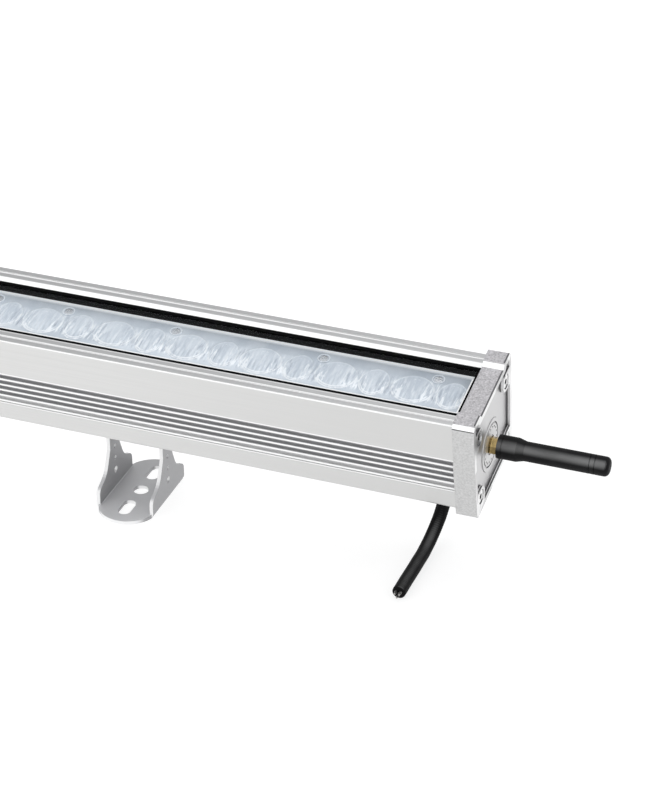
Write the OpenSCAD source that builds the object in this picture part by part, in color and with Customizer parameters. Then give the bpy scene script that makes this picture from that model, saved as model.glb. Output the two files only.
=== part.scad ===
// Outdoor wall washer light: a sealed aluminium bar with a row of LED lenses under a
// glass, a screw-on antenna at its right end and two tilting U brackets in a T slot.
// The bar runs along X with the antenna at +X, its front looks towards -Y, and the
// origin lies midway between the brackets' centre holes, on the plane they stand on.

/* [Bar] */
// Length over both end caps
bar_l = 1000; // [900:1:1200]
// Lean of the lamp towards its front, as it stands
rest_tilt = 10.2; // [0:0.1:20]
// Distance between the centre holes of the two brackets
bracket_spacing = 603; // [450:1:640]

/* [Housing] */
// Width of the extrusion over its upper half
housing_w = 57.6; // [56:0.1:62]
// Height of the extrusion
housing_h = 56; // [54.5:0.1:62]
// How far each side leans in at the underside
side_lean = 1.6; // [0:0.1:2.4]
// Height at which the sides start to lean in
lean_h = 28; // [24:0.5:30]
// Thickness of the outer walls
wall = 3; // [2.6:0.1:3.4]
// Thickness of the inner walls
web = 2; // [1.6:0.1:2.4]
// Width of each flat lip along the top
lip_w = 8; // [7:0.1:9]
// Depth and width of the bevel inside each lip
lip_bevel = 1.8; // [1.2:0.1:2.2]
// Thickness of the metal under each lip
lip_t = 2.4; // [2:0.1:3]
// Depth of the shelf that carries the light engine
shelf_depth = 16.2; // [16:0.1:18]
// Thickness of that shelf
shelf_t = 2.6; // [2:0.1:3]

/* [Side ribs] */
// Number of wide grooves on each side
groove_count = 5; // [3:1:6]
// Height of the lowest wide groove above the underside
groove_z = 15.9; // [15.4:0.1:17]
// Distance from one groove to the next
groove_pitch = 3.85; // [3.6:0.05:4.1]
// Width of a wide groove
groove_w = 2.7; // [1.8:0.1:2.9]
// Depth of a wide groove
groove_d = 2.6; // [1.6:0.1:2.8]
// Height of the fine groove below them
fine_groove_z = 13; // [12:0.1:13.2]
// Width and depth of the fine grooves
fine_groove = 0.8; // [0.5:0.1:1]
// Distance of the fine line on each lip from the outer face
lip_line_in = 4.2; // [3:0.1:5]

/* [T slot] */
// Width of the slot's mouth
slot_mouth_w = 8.5; // [7:0.1:9]
// Width of the slot behind its mouth
slot_w = 15.8; // [15.4:0.1:16.6]
// Height of the slot behind its mouth
slot_h = 5.6; // [5.2:0.1:6]
// Thickness of the slot's lips
slot_lip_t = 2.5; // [2:0.1:3]

/* [End caps] */
// Thickness of an end cap
cap_t = 11.2; // [10.4:0.1:14]
// How far an end cap stands out past the extrusion's sides and underside
cap_over = 2.3; // [1.8:0.1:2.6]
// How far an end cap stands out above the extrusion's lips
cap_top_over = 2.8; // [2.4:0.1:3]
// Depth of the socket that takes the extrusion's end
cap_socket_d = 3; // [2.4:0.1:3.4]
// Drop from the cap's lips to its middle
cap_bevel = 2.6; // [2:0.1:2.8]
// Width of the raised rim around the cap's outer face
cap_rim_w = 3; // [2.6:0.1:3.2]
// Depth of the face inside that rim
cap_recess = 2; // [1.6:0.1:2.2]
// Size of the chamfers along the cap's upper corners
cap_chamfer = 2.2; // [1.4:0.1:2.6]
// Thickness of the gasket in each cap
cap_gasket_t = 1; // [0.6:0.1:1.2]
// Depth of the upper cap screws below the lips
upper_screw_drop = 10.5; // [10:0.5:13]
// Height of the lower cap screws above the underside
lower_screw_z = 7; // [6.2:0.1:7]
// Diameter of the round plate behind the antenna
disc_d = 28; // [26:0.5:31]

/* [Light engine] */
// Number of lenses and LEDs in each half of the bar
leds_per_half = 24; // [18:1:30]
// Depth of the glass below the lips
glass_depth = 2.4; // [2:0.1:2.6]
// Thickness of the front glass
glass_t = 3; // [2.6:0.1:3.2]
// Visible width of the glass seal along the long sides
seal_w = 1.7; // [1:0.1:2]
// Visible width of the glass seal at the two ends
seal_end_w = 1.1; // [1:0.1:2.4]
// Depth of the lens panel below the lips
panel_depth = 6.7; // [6.5:0.1:7.2]
// Thickness of the lens panel
panel_t = 2; // [1.6:0.1:2.4]
// Diameter of one lens
lens_d = 19; // [16:0.5:19.5]
// Height of a lens above the panel
lens_h = 0.7; // [0.3:0.1:0.8]
// Distance of the panel screws from the lens row
lens_screw_y = 10.5; // [10:0.1:12]

/* [Antenna] */
// Height of the antenna's axis above the underside
antenna_z = 22.2; // [20:0.1:26]
// Gap between the cap's recessed face and the antenna's rubber
antenna_gap = 4.5; // [3.6:0.1:5.2]
// Length of the antenna's rubber sleeve
sleeve_l = 57.3; // [50:0.1:110]
// Diameter of the sleeve at its base
sleeve_d = 12.3; // [11.6:0.1:13]
// Diameter of the sleeve's rod
rod_d = 10.1; // [8:0.1:11]
// Outer diameter of the antenna's screw thread
thread_d = 6.35; // [6:0.05:6.4]

/* [Brackets] */
// Height of the tilting axis above the ground plane
pivot_h = 42; // [40:0.5:60]
// Distance of the tilting axis below the housing
pivot_drop = 13; // [12.6:0.1:16]
// Distance between a bracket's two ears
ear_gap = 28.8; // [28.6:0.1:36]
// Thickness of the bracket's sheet
sheet_t = 2; // [1.6:0.1:2.4]
// Length of the bracket's foot, end to end
foot_l = 64; // [60:0.5:76]
// Length of an ear where it meets the foot
ear_l = 42; // [40:0.5:48]
// Width of an ear's neck
ear_neck_w = 11.5; // [11:0.5:16]
// Diameter of the round head of an ear
ear_head_d = 18; // [15:0.5:20]
// Diameter of the round hole in the middle of the foot
centre_hole_d = 8.5; // [5:0.1:9]
// Width of a foot slot
foot_slot_w = 7; // [5:0.1:8]
// Length of a foot slot
foot_slot_l = 14; // [10:0.5:16]
// Distance between the middles of the two foot slots
foot_slot_spacing = 36.8; // [34:0.1:40]
// Diameter of the tilt bolts and the slot bolts
bolt_d = 6; // [5:0.1:6]

/* [Supply cable] */
// Diameter of the supply cable
cable_d = 7.2; // [6.4:0.1:7.2]
// Distance of the cable gland from the outer face of the right cap
gland_in = 31; // [28:0.5:40]
// Distance of the cable gland behind the middle of the housing
gland_y = 17; // [16.8:0.1:17.4]
// Length of the cable gland below the housing
gland_l = 20; // [18:0.5:20]

/* [Hidden] */

// Facets of a true circle, and steps in the arc of a rounded corner
$fn = 48;
arc_steps = 6;
// Overrun of every cut
cut = 0.5;
// Gap between flat faces that move past each other
run_gap = 0.3;
// Clearance of a piece that is laid in place
fit_gap = 0.15;
// Radial clearance of a pin that turns in its hole
turn_gap = 0.05;

// Housing section
half_w = housing_w / 2;
bevel_y = half_w - lip_w;
channel_y = bevel_y - lip_bevel;
shelf_z = housing_h - shelf_depth;
side_y = half_w - wall;
hollow_y = channel_y + web;
rib_wall = 1.6;
rib_y = side_at(groove_z - groove_w / 2) - groove_d - rib_wall;
rib_top_z = groove_z + (groove_count - 1) * groove_pitch + groove_w / 2 + rib_wall;
edge_r = 0.8;
bottom_r = 1.5;
ledge_w = 1.8;
ledge_t = 1.5;
panel_z = housing_h - panel_depth;
ledge_z = panel_z - panel_t;
slot_top_z = slot_lip_t + slot_h;
slot_box_top = slot_top_z + web;
port_r = 3.6;
port_sink = 0.3;
screw_r = 2;
screw_clear = 0.05;
upper_screw_y = side_y + port_sink - port_r;
upper_screw_z = housing_h - upper_screw_drop;
lower_screw_y = half_w - side_lean - wall - screw_r;

// End caps
cap_face_x = bar_l / 2;
cap_in_x = cap_face_x - cap_t;
antenna_face_x = cap_face_x - cap_recess;
socket_x = cap_in_x + cap_socket_d;
housing_l = 2 * (socket_x - cap_gasket_t);
cap_bottom_r = 2.5;
cap_screw_head_r = 3.7;
cap_screw_head_h = 2.2;
cap_screw_l = 18;
counterbore_d = 2.6;
hex_key_r = 1.7;
hex_key_d = 1.4;
cap_pocket_w = 30;
cap_pocket_h = 20;
cap_wall = 3;
cap_boss_r = 5.6;
// How far a chamfer's ends move for each step that the outline is drawn in
cap_trim = sqrt(2) - 1;
disc_t = 1;
disc_recess = 0.6;
disc_hole_r = 5.2;
disc_ring_share = 0.86;
disc_ring_w = 0.9;
disc_ring_d = 0.5;
disc_dot_share = 0.68;
disc_dot_r = 0.6;
disc_dots = 18;

// Light engine
light_l = 2 * cap_in_x;
led_pitch = light_l / (2 * leds_per_half);
engine_x = cap_in_x - run_gap;
seal_grip = 0.7;
seal_t = lip_bevel;
board_t = 1.6;
board_z = shelf_z + board_t;
board_side_gap = 1;
join_gap = 0.4;
led_w = 3.5;
led_base_h = 0.8;
led_dome_r = 1.25;
cone_top_r = 7;
cone_low_r = 3.6;
cone_gap = 0.9;
cone_bore_r = 2.2;
cone_bore_h = 2;
pillar_r = 2.6;
pillar_hole_r = 1.4;
lens_screw_r = 1.25;
lens_screw_head_r = 2.3;
lens_screw_head_h = 0.8;
lens_screw_sink = 0.6;
ring_r = 3.4;
ring_w = 0.5;
ring_h = 0.4;
lens_screw_pitch_shares = [1, 4, 8, 11, 13, 16, 20, 23];

// Driver and radio
pad_gap = 0.3;
driver_room = 6.8;
driver_side_gap = 4.2;
driver_l = 180;
driver_w = 2 * (half_w - side_lean - wall - driver_side_gap);
driver_h = shelf_z - shelf_t - driver_room - slot_box_top - pad_gap;
driver_skin = 1.5;
driver_end_gap = 45;
radio_l = 62;
radio_w = 28;
radio_t = 1.6;
radio_end_gap = 23.8;
radio_x = housing_l / 2 - radio_end_gap - radio_l;
driver_x = radio_x - driver_end_gap - driver_l;
shield_l = 24;
shield_w = 18;
shield_h = 3;
plug_l = 5;
plug_r = 1.6;
plug_gap = 19;

// Antenna
thread_r = thread_d / 2;
socket_flange_af = 8;
socket_flange_t = 0.8;
socket_out = 4.6;
socket_in = 8.5;
socket_tail_l = 2.5;
socket_tail_r = 2.2;
socket_bore_r = 0.5;
socket_bore_d = 4;
socket_nut_t = 2.2;
socket_washer_t = 0.5;
socket_washer_r = 5;
nut_af = 8;
nut_l = 5.9;
nut_wall = 1.35;
nut_x = socket_flange_t + run_gap;
nut_end_x = nut_x + nut_l;
core_neck_r = 2;
core_flange_r = 3;
core_flange_t = 0.7;
core_pin_r = 0.45;
core_pin_l = 3.1;
core_grip = 6.4;
recess_r = 4.9;
recess_end_x = nut_end_x + 2 * run_gap;
collar_l = 9.9;
taper_l = 4.1;
collar_line_x = 2.2;
sleeve_line_w = 0.5;
sleeve_line_d = 0.35;
tip_line_xs = [47.2, 49.8];
tip_r = 2.5;

// Brackets
bracket_x = bracket_spacing / 2;
bend_r = 2.6;
ear_x = ear_gap / 2;
foot_w = ear_gap + 2 * sheet_t;
washer_t = 1;
washer_r = 7.5;
hanger_x = ear_x - run_gap - washer_t;
hanger_l = 24;
hanger_head_r = 8;
hanger_bend_r = 2.4;
bolt_r = bolt_d / 2;
bolt_head_af = 10;
bolt_head_h = 4;
bolt_l = 11.2;
nut_t = 5;
slot_nut_af = 10;
slot_nut_t = 5.6;
slot_bolt_end = 1;
slot_head_l = 14.6;
slot_head_w = 7.8;
slot_head_h = 4;
ear_foot_h = 5.5;
ear_toe_r = 4.5;
ear_toe_top_h = 10.2;
ear_waist_h = 23;
ear_flare_share = 0.35;
index_hole_zs = [12, 19.5, 26.8];
index_hole_rs = [1.9, 1.2, 1.2];

// Cable gland
gland_x = cap_face_x - gland_in;
gland_thread_r = 5;
gland_hex_af = 14;
gland_hex_h = 5;
gland_body_l = 9;
gland_bore_r = 3.9;
gland_nut_r = 7.4;
gland_tip_r = 4.9;
gland_thread_l = 8;
gland_skirt_l = 4;
gland_seal_gap = 0.1;
lock_nut_af = 12.6;
lock_nut_t = 3;

// Route of the supply cable outside the gland, laid by hand on the ground plane
cable_r = cable_d / 2;
cable_sides = 12;
cable_route = [[469, 18, 38.1], [468.9, 18.39, 34.92], [468.8, 18.44, 31.72],
    [468.6, 18.13, 28.53], [468.3, 17.48, 25.4], [468, 16.5, 22.35], [467.6, 15.18, 19.43],
    [467.2, 13.56, 16.67], [466.8, 11.64, 14.11], [466.3, 9.45, 11.77],
    [465.9, 7.03, 9.68], [465.5, 4.39, 7.87], [465.2, 1.56, 6.36], [464.9, -1.41, 5.16],
    [464.7, -4.49, 4.3], [464.6, -7.65, 3.77], [464.5, -10.85, 3.6], [464.4, -15.73, 3.6],
    [464.4, -20.6, 3.6], [464.3, -25.48, 3.6], [464.2, -30.36, 3.6], [464.1, -35.24, 3.6],
    [464.1, -40.12, 3.6], [464, -45, 3.6]];
core_r = 0.8;
core_l = 1.6;
core_bare_l = 1.2;
core_bare_r = 0.5;
core_spread = 1.35;
core_count = 3;

// Leads inside the housing. Each runs from one place to another, and its table gives
// the shares of the way along X, Y and Z at each of its points
lead_sides = 8;
antenna_lead_r = 1;
antenna_lead_from = [antenna_face_x - socket_in - socket_tail_l, 0, antenna_z];
antenna_lead_to = [radio_x + radio_t + shield_l + plug_gap + plug_l, 0,
    slot_box_top + pad_gap + radio_t + plug_r];
antenna_lead_shares = [[0, 0, 0], [0.12, 0, 0], [0.28, 0, 0.06], [0.42, 0, 0.24],
    [0.56, 0, 0.54], [0.7, 0, 0.82], [0.84, 0, 0.98], [0.93, 0, 1], [1, 0, 1]];
supply_lead_r = 2.2;
supply_lead_drop = 6;
supply_lead_rise = 8.6;
supply_lead_from = [gland_x, gland_y, wall + supply_lead_rise];
supply_lead_to = [driver_x + driver_l + pad_gap, gland_y - supply_lead_drop,
    slot_box_top + pad_gap + driver_h / 2];
supply_lead_shares = [[0, 0, 0], [0.01, 0, 0.35], [0.04, 0.08, 0.7], [0.1, 0.25, 0.92],
    [0.18, 0.5, 0.99], [0.36, 0.83, 1], [0.6, 1, 1], [1, 1, 1]];
led_lead_r = 0.9;
led_lead_gap = 2.4;
led_lead_hole_r = 3;
led_lead_reach = 20;
led_lead_rise = 15.8;
led_lead_from = [driver_x - pad_gap, 0, shelf_z - led_lead_rise];
led_lead_to = [driver_x - led_lead_reach, 0, shelf_z - fit_gap];
led_lead_shares = [[0, 0, 0], [0.38, 0, 0.04], [0.74, 0, 0.2], [0.93, 0, 0.42],
    [1, 0, 0.64], [1, 0, 0.82], [1, 0, 1]];

// Finishes, as colours for the plain views
anodised = [0.80, 0.80, 0.81];
cast_grey = [0.68, 0.67, 0.69];
sheet_grey = [0.70, 0.70, 0.71];
seal_black = [0.06, 0.06, 0.06];
rubber_black = [0.12, 0.12, 0.13];
steel = [0.62, 0.62, 0.64];
brass = [0.85, 0.62, 0.25];
lens_tint = [0.75, 0.82, 0.88, 0.8];
board_white = [0.92, 0.92, 0.9];
board_green = [0.10, 0.35, 0.20];
lead_red = [0.65, 0.12, 0.10];

// Arc that rounds the corner at "at", as points from one side to the other
function corner_arc(before, at, after, radius) = radius == 0 ? [at] :
    let (
        u = (before - at) / norm(before - at),
        v = (after - at) / norm(after - at),
        half = acos(u * v) / 2,
        middle = at + (u + v) / norm(u + v) * radius / sin(half),
        first = at + u * radius / tan(half) - middle,
        last = at + v * radius / tan(half) - middle,
        start = atan2(first[1], first[0]),
        sweep = atan2(last[1], last[0]) - start,
        turn = sweep > 180 ? sweep - 360 : sweep < -180 ? sweep + 360 : sweep
    )
    [for (i = [0 : arc_steps]) middle + radius * [cos(start + turn * i / arc_steps),
        sin(start + turn * i / arc_steps)]];

// Outline through corners given as [x, y, radius], each rounded by its own radius
function rounded_outline(corners) = let (n = len(corners), at = [for (c = corners) [c[0], c[1]]])
    [for (i = [0 : n - 1])
        each corner_arc(at[(i + n - 1) % n], at[i], at[(i + 1) % n], corners[i][2])];

// The same corners with their mirror images, last first, so the outline closes
function both_sides(corners) = concat(corners,
    [for (i = [len(corners) - 1 : -1 : 0]) [-corners[i][0], corners[i][1], corners[i][2]]]);

// Half width of the housing at a height
function side_at(z) = z >= lean_h ? half_w : half_w - side_lean * (1 - z / lean_h);

// Corners of the housing's outline, grown all round by "grow"
function housing_corners(grow) = both_sides([
    [side_at(0) + grow, -grow, bottom_r], [half_w + grow, lean_h, 0],
    [half_w + grow, housing_h + grow, edge_r], [bevel_y - grow, housing_h + grow, 0],
    [channel_y - grow, housing_h - lip_bevel, 0], [channel_y - grow, ledge_z + grow, 0],
    [channel_y - ledge_w - grow, ledge_z + grow, 0],
    [channel_y - ledge_w - grow, ledge_z - ledge_t - grow, 0],
    [channel_y - grow, ledge_z - ledge_t - grow, 0], [channel_y - grow, shelf_z + grow, 0]]);

// Corners of an end cap's outline, drawn in all round by "inset"
function cap_corners(inset) = both_sides([
    [side_at(0) + cap_over - inset, inset - cap_over, cap_bottom_r],
    [half_w + cap_over - inset, lean_h, 0],
    [half_w + cap_over - inset, housing_h + cap_top_over - cap_chamfer - cap_trim * inset, 0],
    [half_w + cap_over - cap_chamfer - cap_trim * inset, housing_h + cap_top_over - inset, 0],
    [bevel_y + inset, housing_h + cap_top_over - inset, 0],
    [bevel_y - cap_bevel + inset, housing_h + cap_top_over - cap_bevel - inset, 0]]);

// Places of the four screws that hold an end cap
function screw_places() = [[upper_screw_y, upper_screw_z], [-upper_screw_y, upper_screw_z],
    [lower_screw_y, lower_screw_z], [-lower_screw_y, lower_screw_z]];

// Points of a tube's rings along a route, square to it, with "side" across the route
function unit(v) = v / norm(v);
function heading(route, i) =
    unit(route[min(i + 1, len(route) - 1)] - route[max(i - 1, 0)]);
function tube_points(route, radius, sides, side) = [for (i = [0 : len(route) - 1])
    let (ahead = heading(route, i), across = unit(cross(ahead, side)),
        up = cross(across, ahead))
    for (k = [0 : sides - 1]) route[i] + radius * (cos(360 * k / sides) * across
        + sin(360 * k / sides) * up)];
function tube_faces(rings, sides) = concat(
    [for (i = [0 : rings - 2]) for (k = [0 : sides - 1]) let (a = i * sides, n = (k + 1) % sides)
        each [[a + k, a + n, a + sides + k], [a + n, a + sides + n, a + sides + k]]],
    [[for (k = [sides - 1 : -1 : 0]) k]],
    [[for (k = [0 : sides - 1]) (rings - 1) * sides + k]]);

// Points that lie at the given shares of the way between two places
function run_between(from, to, shares) =
    [for (s = shares) [for (i = [0 : 2]) from[i] + s[i] * (to[i] - from[i])]];

// Round tube swept along a route
module tube(route, radius, sides, side) {
    polyhedron(points = tube_points(route, radius, sides, side),
        faces = tube_faces(len(route), sides), convexity = 6);
}

// Places its children, drawn in the lamp's own frame, where the tilted lamp holds them
module in_lamp() {
    translate([0, 0, pivot_h]) rotate([rest_tilt, 0, 0]) translate([0, 0, pivot_drop])
        children();
}

// Extrudes a section drawn as [across, up] along X, from x0 over a length
module along_x(x0, length) {
    translate([x0, 0, 0]) rotate([90, 0, 90]) linear_extrude(length) children();
}

// Turns a piece that is drawn up its Z axis to point along +X at the antenna's axis
module on_antenna_axis() {
    in_lamp() translate([antenna_face_x, 0, antenna_z]) rotate([0, 90, 0]) children();
}

// Hexagonal bar with a given width across its flats
module hex_bar(flats, height) {
    cylinder(h = height, d = flats / cos(30), $fn = 6);
}

module cavity_section() {
    polygon([for (c = both_sides([[rib_y, wall, 0], [rib_y, rib_top_z, 0],
        [side_y, rib_top_z + side_y - rib_y, 0], [side_y, housing_h - lip_t, 0],
        [hollow_y, housing_h - lip_t, 0], [hollow_y, shelf_z - shelf_t, 0]])) [c[0], c[1]]]);
}

module screw_ports() {
    for (p = screw_places()) translate(p) circle(r = port_r);
}

module port_holes(radius) {
    for (p = screw_places()) translate(p) circle(r = radius);
}

module side_grooves() {
    for (i = [0 : groove_count - 1]) let (z = groove_z + i * groove_pitch)
        translate([side_at(z) - groove_d, z - groove_w / 2])
            square([groove_d + side_lean + cut, groove_w]);
    translate([side_at(fine_groove_z) - fine_groove, fine_groove_z - fine_groove / 2])
        square([fine_groove + side_lean + cut, fine_groove]);
    translate([half_w - lip_line_in, housing_h - fine_groove / 2])
        square([fine_groove, fine_groove]);
}

module slot_section() {
    translate([-slot_mouth_w / 2, -cut]) square([slot_mouth_w, slot_lip_t + 2 * cut]);
    translate([-slot_w / 2, slot_lip_t]) square([slot_w, slot_h]);
}

module housing_section() {
    difference() {
        union() {
            difference() {
                polygon(rounded_outline(housing_corners(0)));
                cavity_section();
            }
            intersection() {
                polygon(rounded_outline(housing_corners(0)));
                screw_ports();
            }
            translate([-slot_w / 2 - web, 0]) square([slot_w + 2 * web, slot_box_top]);
        }
        port_holes(screw_r + screw_clear);
        slot_section();
        side_grooves();
        mirror([1, 0]) side_grooves();
    }
}

module housing() {
    color(anodised) in_lamp() difference() {
        along_x(-housing_l / 2, housing_l) housing_section();
        translate([gland_x, gland_y, -cut])
            cylinder(h = wall + 2 * cut, r = gland_thread_r + screw_clear);
        gland_pocket();
        for (p = lens_screw_places()) translate([p[0], p[1], shelf_z - shelf_t - cut])
            cylinder(h = shelf_t + 2 * cut, r = lens_screw_r + screw_clear);
        translate([led_lead_to[0], 0, shelf_z - shelf_t - cut])
            cylinder(h = shelf_t + 2 * cut, r = led_lead_hole_r);
    }
}

// Milled pocket that clears the lower screw port around the gland's lock nut
module gland_pocket() {
    pocket_l = lock_nut_af / cos(30) + 2 * run_gap;
    pocket_y = slot_w / 2 + web + fit_gap;
    translate([gland_x - pocket_l / 2, pocket_y, wall])
        cube([pocket_l, side_at(0) - wall - pocket_y + cut,
            lower_screw_z + port_r - wall + cut]);
}

// Places of the screws that hold the lens panels, as [x, y]
function lens_screw_places() = [for (half = [-1, 1]) for (gap = lens_screw_pitch_shares)
    if (gap < leds_per_half) [half * (cap_in_x - gap * led_pitch), lens_screw_y]];

// The cap's face inside its rim, but for a boss around each screw
module cap_recess_section() {
    difference() {
        polygon(rounded_outline(cap_corners(cap_rim_w)));
        for (p = screw_places()) translate(p) {
            circle(r = cap_boss_r);
            mirror([p[0] < 0 ? 1 : 0, 0]) translate([0, -cap_boss_r])
                square([half_w, 2 * cap_boss_r]);
            if (p[1] < lean_h) translate([-cap_boss_r, -half_w])
                square([2 * cap_boss_r, half_w]);
        }
    }
}

module end_cap_blank() {
    difference() {
        along_x(cap_in_x, cap_t) polygon(rounded_outline(cap_corners(0)));
        along_x(antenna_face_x, cap_recess + cut) cap_recess_section();
        along_x(cap_in_x - cut, cap_socket_d + cut)
            polygon(rounded_outline(housing_corners(fit_gap)));
        along_x(socket_x - cut, cap_face_x - counterbore_d - socket_x + 2 * cut)
            port_holes(screw_r + screw_clear);
        along_x(cap_face_x - counterbore_d, counterbore_d + cut)
            port_holes(cap_screw_head_r + run_gap);
    }
}

module right_end_cap() {
    color(cast_grey) difference() {
        in_lamp() difference() {
            end_cap_blank();
            translate([socket_x - cut, -cap_pocket_w / 2, antenna_z - cap_pocket_h / 2])
                cube([cap_t - cap_socket_d - cap_wall - cap_recess + cut, cap_pocket_w,
                    cap_pocket_h]);
        }
        on_antenna_axis() {
            translate([0, 0, -cap_wall - cut])
                cylinder(h = cap_wall + 2 * cut, r = thread_r + screw_clear);
            translate([0, 0, -disc_recess]) difference() {
                cylinder(h = disc_recess + cut, d = disc_d + 2 * fit_gap);
                cylinder(h = disc_recess + cut, r = disc_hole_r - fit_gap);
            }
        }
    }
}

module left_end_cap() {
    color(cast_grey) in_lamp() mirror([1, 0, 0]) end_cap_blank();
}

module cap_gasket() {
    in_lamp() along_x(socket_x - cap_gasket_t, cap_gasket_t) difference() {
        polygon(rounded_outline(housing_corners(0)));
        cavity_section();
        port_holes(screw_r + screw_clear);
    }
}

module right_cap_gasket() {
    color(seal_black) cap_gasket();
}

module left_cap_gasket() {
    color(seal_black) mirror([1, 0, 0]) cap_gasket();
}

module cap_screws() {
    in_lamp() translate([cap_face_x - counterbore_d, 0, 0]) rotate([90, 0, 90])
        for (p = screw_places()) translate(p) difference() {
            union() {
                translate([0, 0, -cap_screw_l]) cylinder(h = cap_screw_l, r = screw_r);
                cylinder(h = cap_screw_head_h, r = cap_screw_head_r);
            }
            translate([0, 0, cap_screw_head_h - hex_key_d])
                cylinder(h = hex_key_d + cut, r = hex_key_r, $fn = 6);
        }
}

module right_cap_screws() {
    color(steel) cap_screws();
}

module left_cap_screws() {
    color(steel) mirror([1, 0, 0]) cap_screws();
}

// Round plate around the antenna, with a ring groove and a circle of small dimples
module face_disc() {
    color(cast_grey) on_antenna_axis() translate([0, 0, -disc_recess]) difference() {
        cylinder(h = disc_t, d = disc_d);
        translate([0, 0, -cut]) cylinder(h = disc_t + 2 * cut, r = disc_hole_r);
        translate([0, 0, disc_t - disc_ring_d]) difference() {
            cylinder(h = disc_ring_d + cut, d = disc_d * disc_ring_share);
            translate([0, 0, -cut]) cylinder(h = disc_ring_d + 3 * cut,
                d = disc_d * disc_ring_share - 2 * disc_ring_w);
        }
        for (i = [0 : disc_dots - 1]) rotate([0, 0, 360 * i / disc_dots])
            translate([disc_d * disc_dot_share / 2, 0, disc_t - disc_ring_d])
                cylinder(h = disc_ring_d + cut, r = disc_dot_r);
    }
}

module front_glass() {
    color(lens_tint) in_lamp()
        translate([seal_end_w - seal_grip - engine_x, seal_w - seal_grip - channel_y,
            housing_h - glass_depth - glass_t])
            cube([2 * (engine_x - seal_end_w + seal_grip),
                2 * (channel_y - seal_w + seal_grip), glass_t]);
}

// Black seal that lines the light opening and holds the glass in a groove
module glass_seal() {
    seal_h = panel_depth - seal_t;
    color(seal_black) in_lamp() difference() {
        translate([-engine_x, -channel_y, panel_z]) cube([2 * engine_x, 2 * channel_y, seal_h]);
        translate([seal_end_w - engine_x, seal_w - channel_y, panel_z - cut])
            cube([2 * (engine_x - seal_end_w), 2 * (channel_y - seal_w), seal_h + 2 * cut]);
        translate([seal_end_w - seal_grip - engine_x, seal_w - seal_grip - channel_y,
            housing_h - glass_depth - glass_t])
            cube([2 * (engine_x - seal_end_w + seal_grip),
                2 * (channel_y - seal_w + seal_grip), glass_t]);
    }
}

// Clear moulded panel with a lens and its light cone over each LED
module lens_panel(half) {
    panel_l = engine_x - join_gap / 2;
    panel_y = channel_y - fit_gap;
    cone_h = ledge_z - board_z - cone_gap;
    in_lamp() difference() {
        union() {
            translate([half > 0 ? join_gap / 2 : -engine_x, -panel_y, ledge_z])
                cube([panel_l, 2 * panel_y, panel_t]);
            intersection() {
                for (i = [0 : leds_per_half - 1])
                    translate([half * (i + 1 / 2) * led_pitch, 0, panel_z]) lens_dome();
                translate([-engine_x + seal_end_w + fit_gap, -panel_y, panel_z])
                    cube([2 * (engine_x - seal_end_w - fit_gap), 2 * panel_y, lens_h]);
            }
            for (i = [0 : leds_per_half - 1])
                translate([half * (i + 1 / 2) * led_pitch, 0, ledge_z - cone_h])
                    cylinder(h = cone_h, r1 = cone_low_r, r2 = cone_top_r);
            for (p = lens_screw_places()) if (p[0] * half > 0)
                translate([p[0], p[1], 0]) {
                    translate([0, 0, board_z]) cylinder(h = ledge_z - board_z, r = pillar_r);
                    translate([0, 0, panel_z]) cylinder(h = ring_h, r = ring_r);
                }
        }
        for (i = [0 : leds_per_half - 1])
            translate([half * (i + 1 / 2) * led_pitch, 0, ledge_z - cone_h - cut])
                cylinder(h = cone_bore_h + cut, r = cone_bore_r);
        for (p = lens_screw_places()) if (p[0] * half > 0) translate([p[0], p[1], 0]) {
            translate([0, 0, board_z - cut])
                cylinder(h = panel_z - board_z + 2 * cut, r = pillar_hole_r);
            translate([0, 0, panel_z - lens_screw_sink])
                cylinder(h = ring_h + lens_screw_sink + cut, r = ring_r - ring_w);
        }
    }
}

// Low spherical cap, as wide as a lens and as high as it stands above the panel
module lens_dome() {
    dome_r = (lens_d * lens_d / 4 + lens_h * lens_h) / (2 * lens_h);
    intersection() {
        translate([0, 0, lens_h - dome_r]) sphere(r = dome_r, $fn = 96);
        cylinder(h = lens_h, d = lens_d);
    }
}

module right_lens_panel() {
    color(lens_tint) lens_panel(1);
}

module left_lens_panel() {
    color(lens_tint) lens_panel(-1);
}

module lens_screws() {
    screw_l = panel_z - lens_screw_sink - shelf_z + shelf_t;
    color(steel) in_lamp() for (p = lens_screw_places())
        translate([p[0], p[1], panel_z - lens_screw_sink]) difference() {
            union() {
                translate([0, 0, -screw_l]) cylinder(h = screw_l, r = lens_screw_r);
                cylinder(h = lens_screw_head_h, r = lens_screw_head_r);
            }
            translate([-lens_screw_head_r, -ring_w / 2, lens_screw_head_h / 2])
                cube([2 * lens_screw_head_r, ring_w, lens_screw_head_h]);
        }
}

module led_board(half) {
    board_l = engine_x - join_gap / 2 - seal_end_w;
    board_y = channel_y - board_side_gap;
    in_lamp() difference() {
        translate([half > 0 ? join_gap / 2 : -join_gap / 2 - board_l, -board_y, shelf_z])
            cube([board_l, 2 * board_y, board_t]);
        for (p = lens_screw_places()) translate([p[0], p[1], shelf_z - cut])
            cylinder(h = board_t + 2 * cut, r = lens_screw_r + screw_clear);
    }
}

module right_led_board() {
    color(board_white) led_board(1);
}

module left_led_board() {
    color(board_white) led_board(-1);
}

module leds(half) {
    in_lamp() for (i = [0 : leds_per_half - 1])
        translate([half * (i + 1 / 2) * led_pitch, 0, board_z]) {
            translate([-led_w / 2, -led_w / 2, 0]) cube([led_w, led_w, led_base_h]);
            translate([0, 0, led_base_h / 2]) cylinder(h = led_dome_r, r = led_dome_r);
        }
}

module right_leds() {
    color([0.95, 0.9, 0.55]) leds(1);
}

module left_leds() {
    color([0.95, 0.9, 0.55]) leds(-1);
}

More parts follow.
